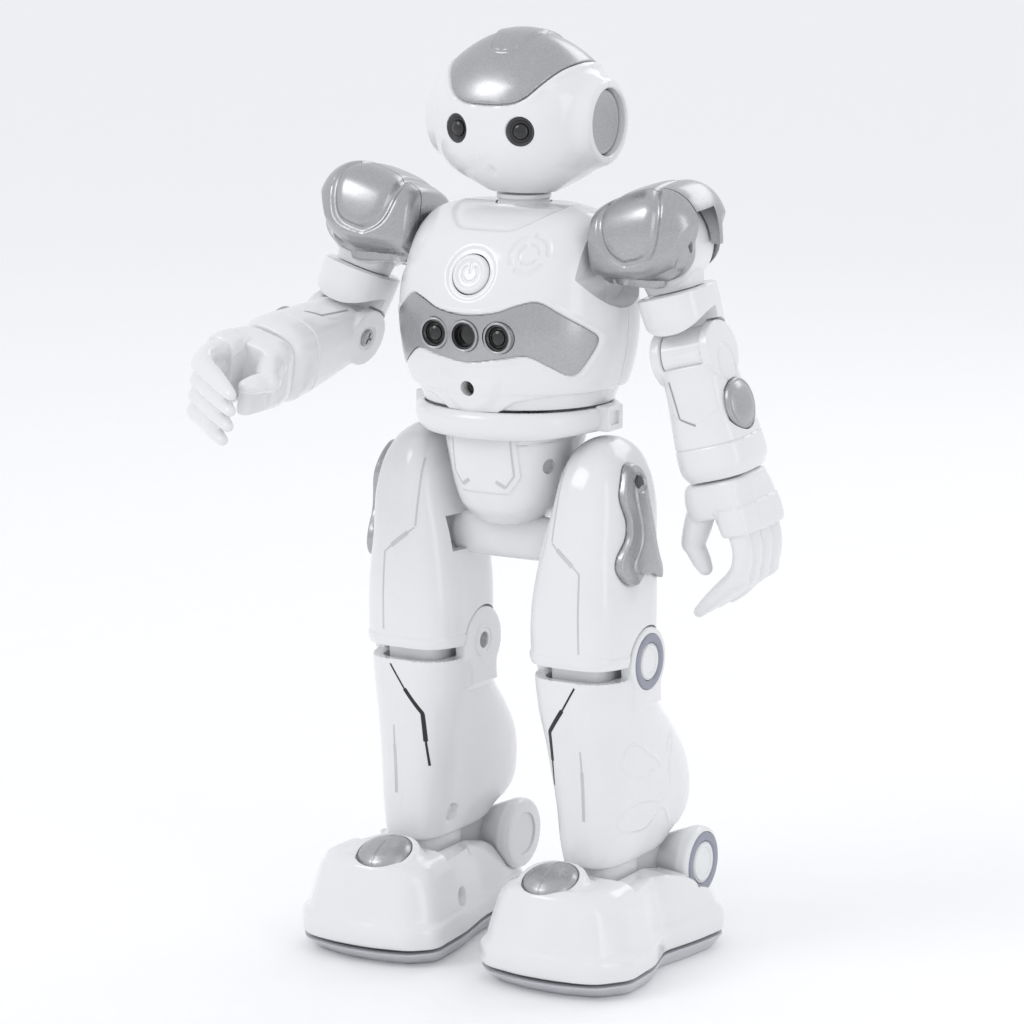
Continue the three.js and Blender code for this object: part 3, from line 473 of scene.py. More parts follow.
WHITE = finish_of("white_abs", (0.78, 0.783, 0.79), 0.16, coat=0.4, mottle=0.01)
SILVER = finish_of("silver_paint", (0.42, 0.424, 0.432), 0.3, metallic=0.85, coat=0.2, flake=0.16, bump=0.06)
RING = finish_of("grey_ring_paint", (0.29, 0.3, 0.36), 0.32, metallic=0.15, mottle=0.05)
SOLE = finish_of("grey_sole", (0.56, 0.565, 0.59), 0.5, mottle=0.03, bump=0.1)
BLACK = finish_of("black_gloss", (0.006, 0.006, 0.007), 0.07, mottle=0.2, edge_highlight=0.1, coat=0.4)
DARK = finish_of("dark_grey_plastic", (0.045, 0.045, 0.047), 0.3, mottle=0.12, edge_highlight=0.2)
GREY_INK = finish_of("grey_ink", (0.36, 0.365, 0.38), 0.4, mottle=0.05, edge_highlight=0)
PALE_INK = finish_of("pale_grey_ink", (0.56, 0.565, 0.58), 0.4, mottle=0.05, edge_highlight=0)
BLACK_INK = finish_of("black_ink", (0.012, 0.012, 0.013), 0.35, mottle=0.15, edge_highlight=0)
BOARD = finish_of("green_board", (0.02, 0.11, 0.05), 0.45, mottle=0.15)
BATTERY = finish_of("blue_wrap", (0.03, 0.09, 0.3), 0.35, mottle=0.1)
MOTOR = finish_of("motor_grey", (0.1, 0.105, 0.115), 0.5, mottle=0.1, bump=0.1)
STEEL = finish_of("axle_steel", (0.55, 0.56, 0.57), 0.25, metallic=1.0, mottle=0.06)
SCREW = finish_of("screw_steel", (0.4, 0.4, 0.41), 0.3, metallic=0.9, mottle=0.08)
RUBBER = finish_of("tyre_rubber", (0.02, 0.02, 0.021), 0.8, mottle=0.15, bump=0.3)

for node, material in {
    "main_board": BOARD, "battery_pack": BATTERY, "speaker": MOTOR, "leg_gearbox": MOTOR,
    "shoulder_axle_left": STEEL, "shoulder_axle_right": STEEL,
    "drive_wheel_left": RUBBER, "drive_wheel_right": RUBBER,
}.items():
    frame["nodes"][node].data.materials.clear()
    frame["nodes"][node].data.materials.append(material)


def finished(obj, name, body, material, stands_for=(), matrix=None, sharp=35):
    """Moves a piece into the row frame and puts it on its body."""
    whole = TO_ROW @ (matrix or Matrix())
    obj.data.transform(whole)
    if whole.determinant() < 0:
        obj.data.flip_normals()
    obj.data.shade_smooth()
    obj.data.set_sharp_from_angle(angle=math.radians(sharp))
    obj.name = obj.data.name = name
    obj.data.materials.clear()
    obj.data.materials.append(material)
    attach(obj, body)
    if stands_for:
        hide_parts(*stands_for)
    return obj


def paired(obj, name, body, material, stands_for=(), matrices=None, sharp=35, sided_body=True):
    """The same piece for the left and the right side."""
    twin = copied(obj)
    for piece, side in ((obj, "left"), (twin, "right")):
        matrix = matrices[side] if matrices else (MIRROR if side == "right" else None)
        own = f"{body}_{side}" if sided_body else body
        finished(piece, f"{name}_{side}", own, material, [f"{node}_{side}" for node in stands_for], matrix,
                 sharp)


def printed(target, path, width, view, lift=0.05):
    """A printed line: a thin ribbon lying on a surface, seen from the front or from the left side."""
    tree = BVHTree.FromObject(target, bpy.context.evaluated_depsgraph_get())
    p = spaced(path, 0.5)
    along = np.gradient(p, axis=0)
    along /= np.linalg.norm(along, axis=1)[:, None]
    across = np.column_stack([-along[:, 1], along[:, 0]]) * width / 2
    far, aim = {"front": (-150, Vector((0, 1, 0))), "left": (150, Vector((-1, 0, 0)))}[view]
    rings = []
    for centre, shift in zip(p, across):
        corners = []
        for offset in (-1, 0, 1):
            u, v = centre + shift * offset
            start = Vector((u, far, v)) if view == "front" else Vector((far, u, v))
            place, normal, *_ = tree.ray_cast(start, aim)
            if place is None:
                break
            corners.append((np.array(place), np.array(normal)))
        if len(corners) == 3:
            top = [at + normal * lift for at, normal in corners]
            under = [at - normal * 0.2 for at, normal in corners[::-1]]
            rings.append(np.array(top + under))
    return skin(rings)


# ---------- head ----------

HEAD = levels([
    (217.3, 9.8, 8, 9), (222.5, 19.5, 15.5, 18), (227, 23.6, 19, 21.5), (232, 25, 20.7, 23),
    (237.5, 25.4, 21.4, 23.5), (243, 25, 20.9, 23), (248, 23.6, 19.2, 21), (253, 20.5, 15.7, 17.5),
    (257.5, 15, 11.2, 12.5), (260.6, 9, 6.5, 7), (261.9, 3, 2, 2.5), (262, 0.1, 0.1, 0.1),
], cy=NECK_Y, nf=2.15)
EAR = Vector((0, 4.5, 237.4))
EYE = Vector((9.9, -15.6, 235.7))
CROWN = [(0, 242.6), (7, 243), (11, 244.6), (14, 247.6), (18, 252.2), (22, 255), (27, 257), (27, 272)]
CROWN_BACK = 16  # the crown panel ends this far behind the knee axis


def make_head():
    skull = loft(HEAD, 0.45)
    ears = [moved(turned([
        (0, 10), (15.4, 10), (15, 17), (13.6, 21.4), (12.6, 24.6), (11.4, 26.3), (10.2, 26.5), (0, 26.5),
    ], 1.2), EAR, (side, 0, 0)) for side in (1, -1)]
    crown_edge = smooth_outline(mirrored(CROWN))
    face = blended([copied(skull), *ears], 0.42, 6)

    def beside_ear(co):
        radius = np.hypot(co[:, 1] - EAR.y, co[:, 2] - EAR.z)
        across = np.abs(co[:, 0])
        ring = ease(radius, 10.5, 12.5) * (1 - ease(radius, 17, 21))
        return ring * ease(across, 12, 16) * (1 - ease(across, 24.4, 25.6))

    soften(face, 60, beside_ear)

    def seat(co, normals):
        gap = signed(co[:, ::2], crown_edge)
        inside = co[:, 1] < CROWN_BACK
        lip = 0.55 * np.exp(-((gap - 0.9) / 1.1) ** 2) * ease(np.abs(co[:, 0]), 8, 16)
        mouth = np.exp(-((co[:, 0] / 0.8) ** 2 + ((co[:, 2] - 224.4) / 1.3) ** 2)) * (co[:, 1] < 0)
        rim = np.where(inside, lip - 1.1 * (1 - ease(gap, -0.3, 0.3)), 0)
        return rim * (co[:, 2] > 240) - 0.8 * mouth

    relief(face, seat)
    for side in (1, -1):
        hole = [(0, 21.7), (9.35, 21.7), (9.35, 26), (9.9, 26.7), (0, 26.7)]
        cut(face, moved(turned(hole, 0, 128), EAR, (side, 0, 0)))
        way = (side * math.sin(0.24), -math.cos(0.24), 0)
        at = (side * EYE.x, EYE.y, EYE.z)
        cut(face, moved(turned([(0, -3), (4.05, -3), (4.05, 0.9), (4.6, 1.9), (4.6, 6), (0, 6)], 0), at, way))
        eye = turned([(0, -2.8), (3.9, -2.8), (3.9, 0.75), (3.6, 0.95), (2.75, 0.1), (0, 0.1)], 0.15)
        name = "left" if side > 0 else "right"
        finished(moved(eye, at, way), f"eye_ring_{name}", "head", DARK, [f"eye_{name}"])
        pupil = turned([(0, -1), (2.45, -1), (2.45, 0.3), (1.9, 0.95), (1.1, 1.3), (0, 1.4)], 0.5)
        finished(moved(pupil, at, way), f"eye_dome_{name}", "head", BLACK, [f"eye_{name}"])
        disc = turned([
            (0, 21.6), (9.15, 21.6), (9.15, 24), (8.7, 24.6), (7.9, 24.2), (5, 23.7), (0, 23.5),
        ], 0.5, 128)
        finished(moved(disc, EAR, (side, 0, 0)), f"ear_dish_{name}", "head", SILVER, [f"ear_disc_{name}"])
    cut(face, loft(drawn_in(HEAD, 4), 2))
    back = split_at(face, 4, 200, 280)
    finished(face, "face_cover", "head", WHITE, ["face_shell"])
    finished(back, "head_back_cover", "head", WHITE, ["head_back_shell"])

    inset = smooth_outline(mirrored([(x * 0.985, z + 0.25) for x, z in CROWN]))
    panel = keep(skull, prism(inset, -40, CROWN_BACK - 0.3))
    cut(panel, loft(drawn_in(HEAD, 1.5), 1))
    applied(panel, "REMESH", mode="VOXEL", voxel_size=0.36)
    soften(panel, 4)
    tab = cornered([(-3.6, -9.3), (3.6, -9.3), (6.6, 1), (7.4, 14), (-7.4, 14), (-6.6, 1)], 3)

    def tongue(co, normals):
        return plateau(co[:, :2], tab, 0.7, 0.3) * (normals[:, 2] > 0.2)

    finished(relief(panel, tongue), "crown_cover", "head", SILVER, ["crown_panel"])


# ---------- torso ----------

TORSO = levels([
    (159.1, 27.4, 25.6, 19), (163.4, 29.2, 26.4, 19.6), (165.5, 31.4, 27, 20), (173, 33.6, 28.4, 20.8),
    (181, 34.6, 29.5, 21), (189, 34.4, 28.9, 21), (197, 33.2, 26.5, 20.5), (204, 31, 22.8, 19),
    (209, 28, 18.5, 16.5), (212.4, 24, 13.5, 13.5), (214.2, 18, 8.5, 10), (214.4, 17, 8, 9.4),
], nf=2.05, nb=3)
SHOULDER_Z = 206
BAND = [(0, 186.2), (9, 187.2), (15, 189.4), (20, 190.3), (25, 187.3), (31, 182.2), (32, 178.6),
        (28.8, 171.4),
        (26.4, 169.8), (22, 172.8), (17, 175.4), (9, 174.2), (0, 173)]
LENS_Z, LENS_PITCH, LENS_RADIUS = 180.4, 10.1, 4.4
BUTTON_TILT = math.radians(20)
BUTTON = Vector((0, -26.2, 197.2))
BUTTON_WAY = (0, -math.cos(BUTTON_TILT), math.sin(BUTTON_TILT))
SENSOR_Z = 165.6
ICON = (15.5, 202.9)  # the middle of the speaker mark on the chest
COLLAR = [(-19, 216), (-13.5, 211.5), (-8.5, 208.6), (8.5, 208.6), (13.5, 211.5), (19, 216)]
LOBE = [(-10, 172), (-8.6, 166.5), (-5.8, 161.6), (0, 159), (5.8, 161.6), (8.6, 166.5), (10, 172)]
SEAM = [(0, 157.6), (6.6, 157.9), (9.6, 160), (12.6, 162), (17, 163), (23, 163.7), (34, 164.1)]


def cylinder(axis, at, radius, low, high, sides=96, flare=0.0):
    profile = [(0, low), (radius, low), (radius, high - flare * 2), (radius + flare, high), (0, high)]
    return moved(turned(profile, 0, sides), at, axis)


def make_torso():
    plain = loft(TORSO, 0.45)
    band = smooth_outline(mirrored(BAND))
    collar = spaced(rounded(COLLAR, 2), 0.5)
    collar = np.vstack([collar, [(0, 222)]])
    lobe = spaced(curve(LOBE, 0.5), 0.5)
    door = cornered([(-15, 166), (15, 166), (15, 196), (-15, 196)], 3)
    seam_x, seam_z = np.array(SEAM).T

    def shape(co, normals):
        front = co[:, 1] < 0
        flat = co[:, ::2]
        out = np.where(front, plateau(flat, band, -0.95, 0.28), 0)
        out += np.where(front, 0.22 * np.exp(-((signed(flat, band) - 0.8) / 0.5) ** 2), 0)
        out += np.where(front, plateau(flat, collar, -0.75, 0.7), 0)
        out += np.where(front, plateau(flat, lobe, 0.8, 1.4) * (1 - ease(co[:, 2], 167, 172)), 0)
        below = co[:, 2] - np.interp(np.abs(co[:, 0]), seam_x, seam_z)
        out -= 0.8 * (1 - ease(below, -0.35, 0.35)) * (1 - ease(co[:, 1], 12, 14))
        away = np.hypot(co[:, 0], (co[:, 2] - BUTTON.z) / math.cos(BUTTON_TILT))
        out -= np.where(front, 0.55 * (1 - ease(away, 6.9, 8.1)), 0)
        right, up = co[:, 0] - ICON[0], co[:, 2] - ICON[1]
        icon = np.hypot(right, up)
        turn = (np.degrees(np.arctan2(up, right)) + 390) % 120
        arcs = ease(icon, 4.1, 4.4) * (1 - ease(icon, 5.2, 5.5))
        arcs += ease(icon, 2.2, 2.4) * (1 - ease(icon, 2.8, 3))
        out -= np.where(front, 0.3 * arcs * (turn > 24), 0)
        back = co[:, 1] > 5
        out += np.where(back, groove(flat, door, 0.7, 0.7, True), 0)
        for x in (-23, 23):
            out += np.where(back, pit(flat, (x, 200), 1.2, 2.1, 2.5), 0)
        for z in (169, 171.5, 174):
            vent = groove(flat, np.array([(-5, z), (5, z)]), 0.8, 0.4)
            out += np.where(back & (np.abs(co[:, 0]) < 6), vent, 0)
        return out

    body = relief(copied(plain), shape)
    for side in (1, -1):
        cut(body, cylinder((side, 0, 0), (0, 0, SHOULDER_Z), 18.8, 27.2, 60, 160))
        cut(body, cylinder((side, 0, 0), (0, 0, SHOULDER_Z), 3.6, 15, 40))
    for place in (-1, 0, 1):
        cut(body, cylinder(FORWARDS, (place * LENS_PITCH, 0, LENS_Z), LENS_RADIUS + 0.15, 20, 40))
    cut(body, cylinder(BUTTON_WAY, BUTTON, 5.95, -8, 6, 96))
    cut(body, cylinder(FORWARDS, (0, 0, SENSOR_Z), 2.15, 17, 40, 48))
    cut(body, cylinder(UP, (0, NECK_Y, 0), 8, 200, 230))
    inner = drawn_in(TORSO, 2.6)
    inner[0, 0] = 150
    cavity = loft(inner, 2)
    for side in (1, -1):
        cut(cavity, cylinder((side, 0, 0), (0, 0, SHOULDER_Z), 21, 24.6, 60))
    cut(body, cavity)
    back = split_at(body, 1, 140, 240)
    finished(body, "chest_cover", "torso", WHITE, ["torso_front_shell"])
    finished(back, "back_cover", "torso", WHITE, ["torso_back_shell", "battery_cover"])

    inset = smooth_outline(mirrored([(x * 0.993, z + (-0.25 if z > 178 else 0.25)) for x, z in BAND]))
    trim = keep(copied(plain), prism(inset, -40, -6))
    cut(trim, loft(drawn_in(TORSO, 1.5), 1.5))
    for place in (-1, 0, 1):
        cut(trim, cylinder(FORWARDS, (place * LENS_PITCH, 0, LENS_Z), LENS_RADIUS + 0.15, 20, 40))
    finished(trim, "chest_trim", "torso", SILVER, ["chest_band"])
    bpy.data.objects.remove(plain)

    for name, place in (("right", -1), ("center", 0), ("left", 1)):
        front = -28.75 if place else -29.7
        at = (place * LENS_PITCH, front, LENS_Z)
        rim = turned([(0, -4), (4.42, -4), (4.42, 0.2), (4.05, 0.5), (3.7, 0.2), (3.6, 0.5), (0, 0.5)], 0.1)
        cut(rim, cylinder(UP, CENTRE, 3.72, -6, 3, 96))
        finished(moved(rim, at, FORWARDS), f"lens_rim_{name}", "torso", SILVER, [f"lens_{name}"])
        steps = [(0, -3.4), (3.68, -3.4), (3.68, -0.1), (3.3, 0.15), (2.9, -0.35), (2.6, -0.9), (2.3, -0.8),
                 (2.0, -0.35), (1.2, 0.0), (0, 0.12)]
        if not place:
            steps = [(0, -3.4), (3.68, -3.4), (3.68, -0.1), (3.2, 0.05), (2.8, -0.7), (2.6, -1.6),
                     (1.4, -1.3), (0, -1.2)]
        finished(moved(turned(steps, 0.12), at, FORWARDS), f"lens_glass_{name}", "torso", BLACK,
                 [f"lens_{name}"])
    sensor = turned([(0, -6), (2.05, -6), (2.05, -1), (1.7, -0.6), (1.2, -1.2), (0, -1.2)], 0.1)
    finished(moved(sensor, (0, -25.4, SENSOR_Z), FORWARDS), "belly_eye", "torso", BLACK, ["belly_sensor"])

    collar_post = turned([
        (0, 205), (7.7, 205), (7.7, 213.6), (7.2, 214.4), (7.2, 215.2), (7.7, 215.6), (7.7, 216.7),
        (5, 216.9), (5, 222), (0, 222),
    ], 0.25)
    keys = [moved(box((x - 0.9, x + 0.9), (-8.2, -6), (207, 216.4)), (0, 3.2, 0)) for x in (-2.6, 0.6)]
    post = join(moved(collar_post, (0, NECK_Y, 0)), *keys)
    finished(post, "neck_collar", "torso", WHITE, ["neck_post"])


def make_button():
    cap = turned([
        (0, -5), (5.6, -5), (5.6, -0.5), (5.3, 0.15), (4.6, 0.55), (4.1, 0.35), (3.7, 0.05), (0, 0.1),
    ], 0.3, 128)
    applied(cap, "REMESH", mode="VOXEL", voxel_size=0.16)
    soften(cap, 3)
    ring = np.radians(np.linspace(128, 412, 40))
    arc = np.column_stack([2.35 * np.cos(ring), 2.35 * np.sin(ring)])
    stroke = np.array([(0, 0.4), (0, 3)])

    def symbol(co, normals):
        top = ease(normals[:, 2], 0.5, 0.8)
        flat = co[:, :2]
        lines = [1 - ease(distance(flat, path), 0.25, 0.5) for path in (arc, stroke)]
        return -top * 0.28 * np.maximum(*lines)

    relief(cap, symbol)
    finished(moved(cap, BUTTON, BUTTON_WAY), "power_button_cap", "power_button", WHITE, ["power_button"])


# ---------- waist and pelvis ----------


def make_waist():
    rows = levels([
        (152.2, 27.2, 25.4, 18), (152.8, 27.9, 26.2, 18.7), (154.5, 28.9, 27.5, 19.4),
        (157, 28.9, 27.9, 19.4),
        (158.4, 28.4, 27.1, 19.1), (159, 27.9, 26.5, 18.7),
    ], nf=2.05, nb=3)
    band = loft(rows, 0.4)
    co = points_of(band)
    front = ease(-co[:, 1], 6, 24)
    co[:, 2] -= 1.1 * front * (1 - ease(co[:, 2], 153, 157))
    set_points(band, co)
    hole = rows.copy()
    hole[:, 1:4] -= 2.2
    hole[0, 0], hole[-1, 0] = 148, 162
    cut(band, loft(hole, 1.5))
    soften(band, 2)
    plate = rounded([(-4.2, 152.6), (4.2, 152.6), (4.2, 159.6), (-4.2, 159.6)], 0.6, True)
    window = rounded([(-2.2, 154.2), (2.2, 154.2), (2.2, 158), (-2.2, 158)], 0.4, True)
    clip = cut(prism(plate, 27.2, 31.2, "yz"), prism(window, 30.4, 34, "yz"))
    torso = levels([(150, 27.7, 25.9, 19.3), (159.1, 27.7, 25.9, 19.3), (163.4, 29.5, 26.7, 19.9)],
                   nf=2.05, nb=3)
    for tab in (clip, reflected(clip)):
        join(band, cut(tab, loft(torso, 2)))
    finished(band, "waist_ring", "torso", WHITE, ["waist_band"])


PELVIS = levels([
    (124.8, 6.6, 11, 6), (125.4, 8.4, 12.4, 7.2), (126.6, 10.4, 13.8, 8.6), (130, 13.8, 16.6, 11),
    (136, 15.8, 18.8, 13), (145, 17.4, 20.6, 15), (152.2, 19, 21.4, 16), (153, 19.2, 21.5, 16.1),
], nf=2.6, nb=3)
PLATE = [(-10.6, 156), (-10.8, 139.9), (-7.4, 135.1), (7.4, 135.1), (10.8, 139.9), (10.6, 156)]


def make_pelvis():
    body = loft(PELVIS, 0.4)
    plate = cornered(PLATE, 0.8, 0.4)
    step = np.array([(10.7, 149.3), (14.5, 149.6), (24, 150.6)])

    def shape(co, normals):
        front = co[:, 1] < 0
        flat = co[:, ::2]
        beside = np.column_stack([np.abs(co[:, 0]), co[:, 2]])
        out = np.where(front, plateau(flat, plate, 0.5, 0.22), 0)
        return out + np.where(front, groove(beside, step, 0.6, 0.35), 0)

    relief(body, shape)
    pins = moved(turned([(0, -20.4), (4.5, -20.4), (4.5, 20.4), (0, 20.4)], 0.5), (0, 0, 138), (1, 0, 0))
    join(body, pins)
    for side in (1, -1):
        cut(body, cylinder((side * 0.8, -0.6, 0), (side * 15.4, -9.8, 142.5), 2.2, -3.2, 3, 48))
    cut(body, box((-12.4, 12.4), (-8.6, 8.6), (131, 158)))
    finished(body, "pelvis_cover", "torso", WHITE, ["pelvis_shell"])
    lines = [
        ([(9.3, 151), (9.5, 140.4), (6.9, 136.9)], 0.55),
        ([(6.9, 136.9), (4.3, 138.6)], 1.1),
    ]
    sheet = loft(PELVIS, 0.8)
    relief(sheet, lambda co, normals: np.full(len(co), 0.5))
    for number, (path, width) in enumerate(lines):
        for side, name in ((1, "left"), (-1, "right")):
            line = printed(sheet, [(side * x, z) for x, z in path], width, "front")
            finished(line, f"pelvis_line_{number}_{name}", "torso", PALE_INK)
    bpy.data.objects.remove(sheet)

    rows = levels([(-17.6, 2.2, 4.6, 4.6), (-17, 2.8, 5.4, 5.4), (-10, 3.2, 6.4, 6.4), (10, 3.2, 6.4, 6.4),
                   (17, 2.8, 5.4, 5.4), (17.6, 2.2, 4.6, 4.6)], nf=2.2)
    finished(moved(loft(rows, 0.5), (0, -4, 120.4), (1, 0, 0)), "hip_bow", "torso", WHITE, ["hip_yoke"],
             sharp=50)

# ---------- arms, made for the left side with the arm hanging straight down from the shoulder ----------

HAND_TURN = {"left": -8, "right": 0}  # how far each hand is turned about its forearm at rest


def arm_frames():
    """For each side, the matrices that carry a hanging arm's parts to where the frame's joints hold them."""
    frames = {"shoulder": {}, "upper": {}, "fore": {}, "hand": {}}
    for name, side in SIDES.items():
        shoulder = place_of(f"shoulder_swing_{name}") - ORIGIN
        back = -side * axis_of(f"arm_lift_{name}")
        frames["shoulder"][name] = framed(Vector((side, 0, 0)), back, Vector((0, 0, shoulder.z)))
        outwards = -side * axis_of(f"elbow_{name}")
        up = -axis_of(f"sleeve_turn_{name}")
        frames["upper"][name] = framed(outwards, side * up.cross(outwards), shoulder, up)
        up = -axis_of(f"wrist_{name}")
        elbow = place_of(f"elbow_{name}") - ORIGIN
        fore = framed(outwards, side * up.cross(outwards), elbow + up * ELBOW_DOWN, up)
        frames["fore"][name] = fore
        frames["hand"][name] = fore @ Matrix.Rotation(math.radians(HAND_TURN[name]), 4, "Z")
    return frames


def framed(outwards, back, place, up=None):
    up = up or outwards.cross(back) * (1 if outwards.x > 0 else -1)
    matrix = Matrix((outwards, back, up)).transposed().to_4x4()
    matrix.translation = place
    return matrix


SHOULDER_X = 46  # the arm lifts about this place on the shoulder axis
ELBOW_DOWN, WRIST_DOWN = 32, 66  # distances down the arm from the shoulder
ELBOW_DRUM, DRUM_HALF = 7.4, 6.1  # radius and half width of the elbow drum
COVER = [
    # place along the shoulder axis, lowest and highest edge over it, depth to the front and back
    (28.4, -7.5, 6.8, 9.5, 9.5), (29, -10, 9.2, 12, 12), (31, -11.4, 10.8, 13.8, 13.6),
    (38, -11.9, 13.8, 15.6, 15.2),
    (46, -12, 16.2, 16.4, 15.8), (52, -11.4, 16.8, 16, 15.6), (57, -9.2, 14.8, 13.6, 13.6),
    (60.6, -6, 10.6, 10, 10), (62, -3, 5.4, 5, 5), (62.2, -0.5, 2, 1, 1),
]


def cover_form(wall=0):
    rows = curve(np.array(COVER, float), 0.4)
    rings = []
    for x, low, high, f, b in rows:
        half = max((high - low) / 2 - wall, 0.1)
        flat = outline([0, half, max(f - wall, 0.1), max(b - wall, 0.1), 0, 0, 2.8, 2.8], 260)
        rings.append(np.column_stack([
            np.full(260, x + (45 - x) * wall / 18), flat[:, 1], -flat[:, 0] + (high + low) / 2,
        ]))
    return skin(rings)


def make_shoulders(frames):
    form = cover_form()
    pad = np.radians([-12, -4, 12, 40, 70, 110, 140, 168, 184, 192])
    reach = 15.5
    outer = list(zip([43, 49, 51.6, 52, 48.5, 48.5, 52, 51.6, 49, 43], pad * reach))
    inner = list(zip([41, 37, 34.6, 33.4, 34.5, 34.5, 33.4, 34.6, 37, 41], pad * reach))[::-1]
    panel = smooth_outline(outer + inner)

    def shape(co, normals):
        angle = np.arctan2(co[:, 2], -co[:, 1])
        angle = np.where(angle < -math.pi / 2, angle + 2 * math.pi, angle)
        flat = np.column_stack([co[:, 0], angle * reach])
        gap = signed(flat, panel)
        channel = -0.85 * (1 - ease(np.abs(gap), 0.55, 1.15))
        pillow = 0.35 * (1 - ease(gap, -3.5, -0.6))
        front = np.abs(co[:, 1]) > 4
        line = np.interp(co[:, 0], [28, 34, 47, 55.6, 58.6, 62], [-7.2, -6.6, -5.2, 0.2, 6, 9])
        below = line - co[:, 2]
        bevel = -np.clip(below, 0, 6) * 0.42 * front * (normals[:, 2] > -0.97) * ease(np.abs(co[:, 1]), 4, 9)
        return channel + pillow + bevel

    relief(form, shape)
    soften(form, 2)
    half = 6.9
    disc = cylinder(BACKWARDS, (SHOULDER_X, 0, 0), 13.5, -half - 1, half, 128)
    front = keep(copied(form), box((0, 90), (-40, -half - 0.15), (-40, 40)))
    rear = keep(form, box((0, 90), (-half + 0.15, 40), (-40, 40)))
    cut(front, cover_form(2))
    cut(rear, disc, box((33.5, 90), (-half, half), (-40, 0)),
        box((SHOULDER_X, 90), (-half - 1, 2.2), (-40, 10.5)))
    cut(rear, cylinder(LEFTWARDS, (0, 0, 0), 3.3, 20, 31.7))
    for shell, name in ((front, "front"), (rear, "rear")):
        paired(shell, f"shoulder_{name}_shell", "shoulder", SILVER, [f"shoulder_{name}_cover"],
               frames["shoulder"], sharp=30)


def make_upper_arms(frames):
    head = moved(turned([(0, -6), (12.6, -6), (12.6, 6), (0, 6)], 0.8, 128), (0, 0, 0), (0, 1, 0))
    throat = loft(levels([(-13.3, 8, 6, 6, 0, 2.6), (-8, 8.6, 6, 6, 0, 3.4), (-3, 8.6, 6, 6, 0, 3.4)]), 0.5)
    neck = loft(levels([(-17.4, 4.6, 4.6, 4.6), (-11.6, 4.6, 4.6, 4.6)], nf=2), 0.6)
    join(head, throat, neck)
    paired(head, "arm_hub", "arm_head", WHITE, ["arm_head"], frames["upper"])

    hinge = (0, 0, -ELBOW_DOWN)
    sleeve = loft(levels([
        (-26.8, 9.3, 9.3, 9.3), (-26.4, 9.6, 9.6, 9.6), (-25.8, 9.9, 9.9, 9.9), (-20, 10.4, 10.4, 10.4),
        (-14.6, 10.6, 10.6, 10.6), (-14, 10.4, 10.4, 10.4), (-13.6, 9.8, 9.8, 9.8),
    ], nf=2.5), 0.35)

    relief(sleeve, lambda co, normals: -0.8 * ease(-co[:, 2], 20, 26.5) * ease(-co[:, 1], 4, 9))
    drum = cylinder(LEFTWARDS, hinge, ELBOW_DRUM, -DRUM_HALF, DRUM_HALF, 128)
    join(drum, box((-DRUM_HALF, DRUM_HALF), (0.6, ELBOW_DRUM), (-ELBOW_DOWN, -18.8)))
    for side in (1, -1):
        cut(sleeve, cylinder((side, 0, 0), hinge, 8.8, DRUM_HALF, 20, 128))
    join(sleeve, drum)
    lip = cylinder(LEFTWARDS, hinge, 12.1, -12, 12, 160)
    cut(lip, cylinder(LEFTWARDS, hinge, ELBOW_DRUM, -20, 20, 128), box((-20, 20), (0.4, 40), (-60, 0)))
    cut(sleeve, lip, cylinder(UP, CENTRE, 4.9, -18, -11.6), cylinder(LEFTWARDS, hinge, 1.8, -20, 20, 32))
    cut(sleeve, cylinder((-0.5, 1, 0), (-4.6, 9, -20.6), 2.1, -2.5, 4, 48))
    paired(sleeve, "upper_sleeve", "upper_arm", WHITE, ["upper_arm"], frames["upper"])


